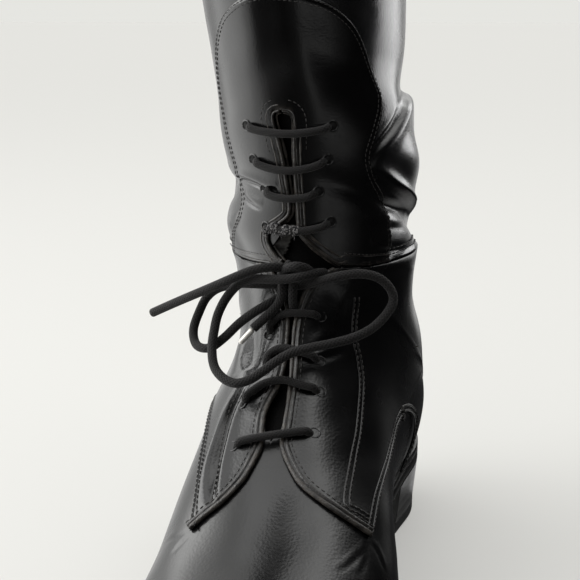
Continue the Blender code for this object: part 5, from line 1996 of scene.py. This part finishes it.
    def build_knot(self) -> bpy.types.Object:
        """Knot: one short wrap over the top and one strand that drops into the slit.

        Returns:
            The knot's object.
        """
        looks = self.shop.finishes
        facing = np.array([0.35, -1.0, 0.30])
        wrap, drop = (tube(self.route(stops, 0.0006), self.radius, self.sides, facing, 0.0008)
                      for stops in (KNOT_WRAP, KNOT_DROP))
        return self.shop.piece("lace_knot_wrap", wrap.joined(drop), [looks.cord], "lace_cord",
                               ("lace_knot", "lace_knot_drop"))


@dataclass(frozen=True)
class Lamp:
    """Rectangular soft light; where pieces are named, they alone mirror it and nothing else is lit by it."""

    name: str
    place: Triple
    target: Triple
    size: tuple[float, float]
    energy: float
    mirrors: tuple[str, ...] = ()

    def build(self) -> None:
        """Make the light and turn it to its target."""
        data = bpy.data.lights.new(self.name, "AREA")
        data.energy = self.energy
        data.shape = "RECTANGLE"
        data.size, data.size_y = self.size
        lamp = bpy.data.objects.new(self.name, data)
        lamp.visible_camera = False
        if self.mirrors:
            lamp.visible_diffuse = False
            lamp.light_linking.receiver_collection = bpy.data.collections.new(self.name)
            for piece in self.mirrors:
                lamp.light_linking.receiver_collection.objects.link(bpy.data.objects[piece])
        lamp.location = self.place
        lamp.rotation_euler = (Vector(self.target) - Vector(self.place)).to_track_quat("-Z", "Y").to_euler()
        bpy.context.scene.collection.objects.link(lamp)


@dataclass
class Studio:
    """Camera, floor and soft light."""

    placing: Placing
    focal_px: float = 1100.0
    elevation: float = math.radians(14.0)
    toe_out: float = math.radians(13.0)
    pan: float = math.radians(5.6)
    eye: Triple = (0.1399, -0.5412, 0.2416)
    sensor_mm: float = 36.0
    overhead: Pairs = ((0.05, 5.0), (0.11, 4.0), (0.16, 2.0), (0.22, 1.3), (0.35, 1.35), (0.50, 1.5), (0.60, 1.9),
                       (0.66, 3.0), (0.71, 2.8), (0.755, 0.8), (0.82, 0.25), (0.86, 0.04))
    backdrop: Triple = (0.790, 0.790, 0.755)
    around: Pairs = ((0.0, 0.85), (0.07, 0.9), (0.165, 0.9), (0.195, 2.8), (0.30, 2.5), (0.37, 1.5), (0.425, 0.12),
                     (0.475, 0.02), (0.55, 0.08), (0.605, 0.65), (0.65, 0.75), (0.70, 0.16), (0.74, 0.02),
                     (0.90, 0.03), (0.945, 0.35), (0.985, 0.8))
    unlit_room: Triple = (0.03, 0.03, 0.03)
    dark: Triple = (0.015, 0.015, 0.016)
    far_floor: Triple = (0.50, 0.50, 0.49)
    floor_reach: float = 40.0
    clip: tuple[float, float] = (0.01, 50.0)
    lamps: tuple[Lamp, ...] = (
        Lamp("left_softbox", (-1.15, -0.45, 0.95), (0.0, 0.02, 0.16), (1.0, 1.0), 8.0),
        Lamp("top_softbox", (-0.30, 0.10, 1.70), (0.0, 0.0, 0.0), (1.2, 1.2), 4.0),
        Lamp("leg_strip", (0.24, 0.29, 0.32), (0.0, 0.02, 0.32), (0.20, 0.30), 0.75, ("leg_skin",)),
        Lamp("heel_floor", (0.08, 0.24, 0.001), (0.08, 0.24, 1.0), (0.24, 0.24), 0.16, ("heel_lifts",)))

    def build_camera(self) -> None:
        """Camera at the picture's place and pitch, panned until the boot stands mid-frame."""
        toward = np.array([math.sin(self.toe_out), -math.cos(self.toe_out), 0.0])
        right = np.array([math.cos(self.toe_out), math.sin(self.toe_out), 0.0])
        ahead = -toward * math.cos(self.pan) - right * math.sin(self.pan)
        right = right * math.cos(self.pan) - toward * math.sin(self.pan)
        back = -ahead * math.cos(self.elevation) + np.array([0.0, 0.0, math.sin(self.elevation)])
        up = np.cross(back, right)
        basis = self.placing.turned(np.stack([right, up, back]))
        data = bpy.data.cameras.new("picture_camera")
        data.sensor_width = self.sensor_mm
        data.lens = self.sensor_mm * self.focal_px / PHOTO_SIDE
        data.clip_start, data.clip_end = self.clip
        camera = bpy.data.objects.new("picture_camera", data)
        matrix = Matrix([Vector(row) for row in basis]).transposed().to_4x4()
        matrix.translation = Vector(self.placing(np.array(self.eye)))
        camera.matrix_world = matrix
        bpy.context.scene.collection.objects.link(camera)
        bpy.context.scene.camera = camera

    def build_floor(self) -> None:
        """Large pale floor that glows by its own light: painted fill light that lifts the boot's shadow on it."""
        mesh = bpy.data.meshes.new("floor")
        reach = self.floor_reach
        mesh.from_pydata([(-reach, -reach, 0.0), (reach, -reach, 0.0), (reach, reach, 0.0), (-reach, reach, 0.0)], [],
                         [(0, 1, 2, 3)])
        # Painted fill light: the floor's glow pales the boot's cast shadow.
        mesh.materials.append(Plain("pale_floor", (0.342, 0.340, 0.328), 0.90, specular=0.0, glow=0.94).build())
        floor = bpy.data.objects.new("floor", mesh)
        floor.visible_glossy = False
        bpy.context.scene.collection.objects.link(floor)

    def build_world(self) -> None:
        """Soft surroundings: pale panels to the left, behind and overhead, an unlit room in front and to the right."""
        world = bpy.data.worlds.new("studio")
        nodes = Nodes(world)
        split = nodes.add("ShaderNodeSeparateXYZ")
        nodes.link(nodes.coords.outputs["Generated"], split.inputs["Vector"])
        x, y, z = (split.outputs[axis] for axis in "XYZ")

        def step(axis: Socket, start: float, end: float, low: float = 0.0, high: float = 1.0) -> Socket:
            """Smooth step between two places along an axis, from one level to another."""
            return nodes.spread(axis, low, high, start, end, "SMOOTHSTEP")

        def both(first: Socket, second: Socket) -> Socket:
            """Where two steps overlap."""
            return nodes.math("MULTIPLY", first, second)

        front = nodes.spread(y, 1.0, -1.0, -1.0, 1.0)
        turn = nodes.spread(nodes.math("ARCTAN2", x, front), 0.0, 1.0, -math.pi, math.pi)
        sides = nodes.ramp(turn, self.around)
        overhead = nodes.ramp(nodes.spread(x, 0.0, 1.0, -1.0, 1.0), self.overhead)
        unlit = both(step(y, -0.40, -0.12, 0.97, 0.0), step(x, -0.20, 0.15))
        dome = nodes.mix(step(z, 0.06, 0.38), sides, nodes.mix(unlit, overhead, self.unlit_room))
        shade = both(step(z, -0.10, 0.06), step(x, 0.50, 0.70, 0.0, 0.985))
        behind = both(step(z, -0.42, -0.58), step(y, 0.45, 0.75))
        under = both(step(z, -0.20, -0.09, 0.97, 0.0), step(x, 0.25, 0.50))
        low = both(step(z, -0.30, -0.20, 0.97, 0.0), both(step(y, 0.45, 0.75), step(x, -0.36, -0.26)))
        for share in (shade, under, low):
            dome = nodes.mix(share, dome, self.dark)
        dome = nodes.mix(behind, dome, self.far_floor)
        seen = nodes.mix(nodes.add("ShaderNodeLightPath").outputs["Is Camera Ray"], dome, self.backdrop)
        nodes.link(seen, nodes.shader.inputs["Color"])
        bpy.context.scene.world = world

    def build_light(self) -> None:
        """Surroundings, two large soft lights, and two small ones that only the leg and the heel mirror."""
        self.build_world()
        bpy.context.scene.view_settings.view_transform = "Standard"
        for lamp in self.lamps:
            lamp.build()


def find_shift(bottom: Bottom, placing: Placing) -> Array:
    """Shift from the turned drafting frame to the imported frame, from the heel's top piece in both.

    Args:
        bottom: the boot's bottom, which knows the top piece's outline.
        placing: turn with no shift yet.

    Returns:
        Shift in metres.
    """
    outline = bottom.heel_outline()
    drafted = placing.turned(np.column_stack([outline, np.zeros(len(outline))]))
    low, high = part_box("heel_top_piece")
    packed = (np.array(low) + np.array(high)) / 2.0
    middle = (drafted.min(axis=0) + drafted.max(axis=0)) / 2.0
    return np.array([packed[0] - middle[0], packed[1] - middle[1], 0.0])


def main() -> None:
    """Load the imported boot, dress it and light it."""
    logging.basicConfig(level=logging.INFO, format="%(name)s: %(message)s")
    for item in list(bpy.data.objects):
        bpy.data.objects.remove(item, do_unlink=True)
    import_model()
    form = BootForm()
    placing = Placing()
    shop = Workshop(form, placing, Finishes())
    bottom = Bottom(shop)
    placing.shift = find_shift(bottom, placing)
    LOG.info("shift %s", placing.shift.round(5).tolist())
    studio = Studio(placing)
    studio.build_camera()
    Lacing(shop).build()
    Upper(shop).build()
    Leg(shop).build()
    Tongue(shop).build()
    for side in Side:
        Facing(shop, side).build()
    LegFacing(shop).build()
    bottom.build()
    studio.build_floor()
    studio.build_light()
    bpy.context.view_layer.update()


if __name__ == "__main__":
    main()
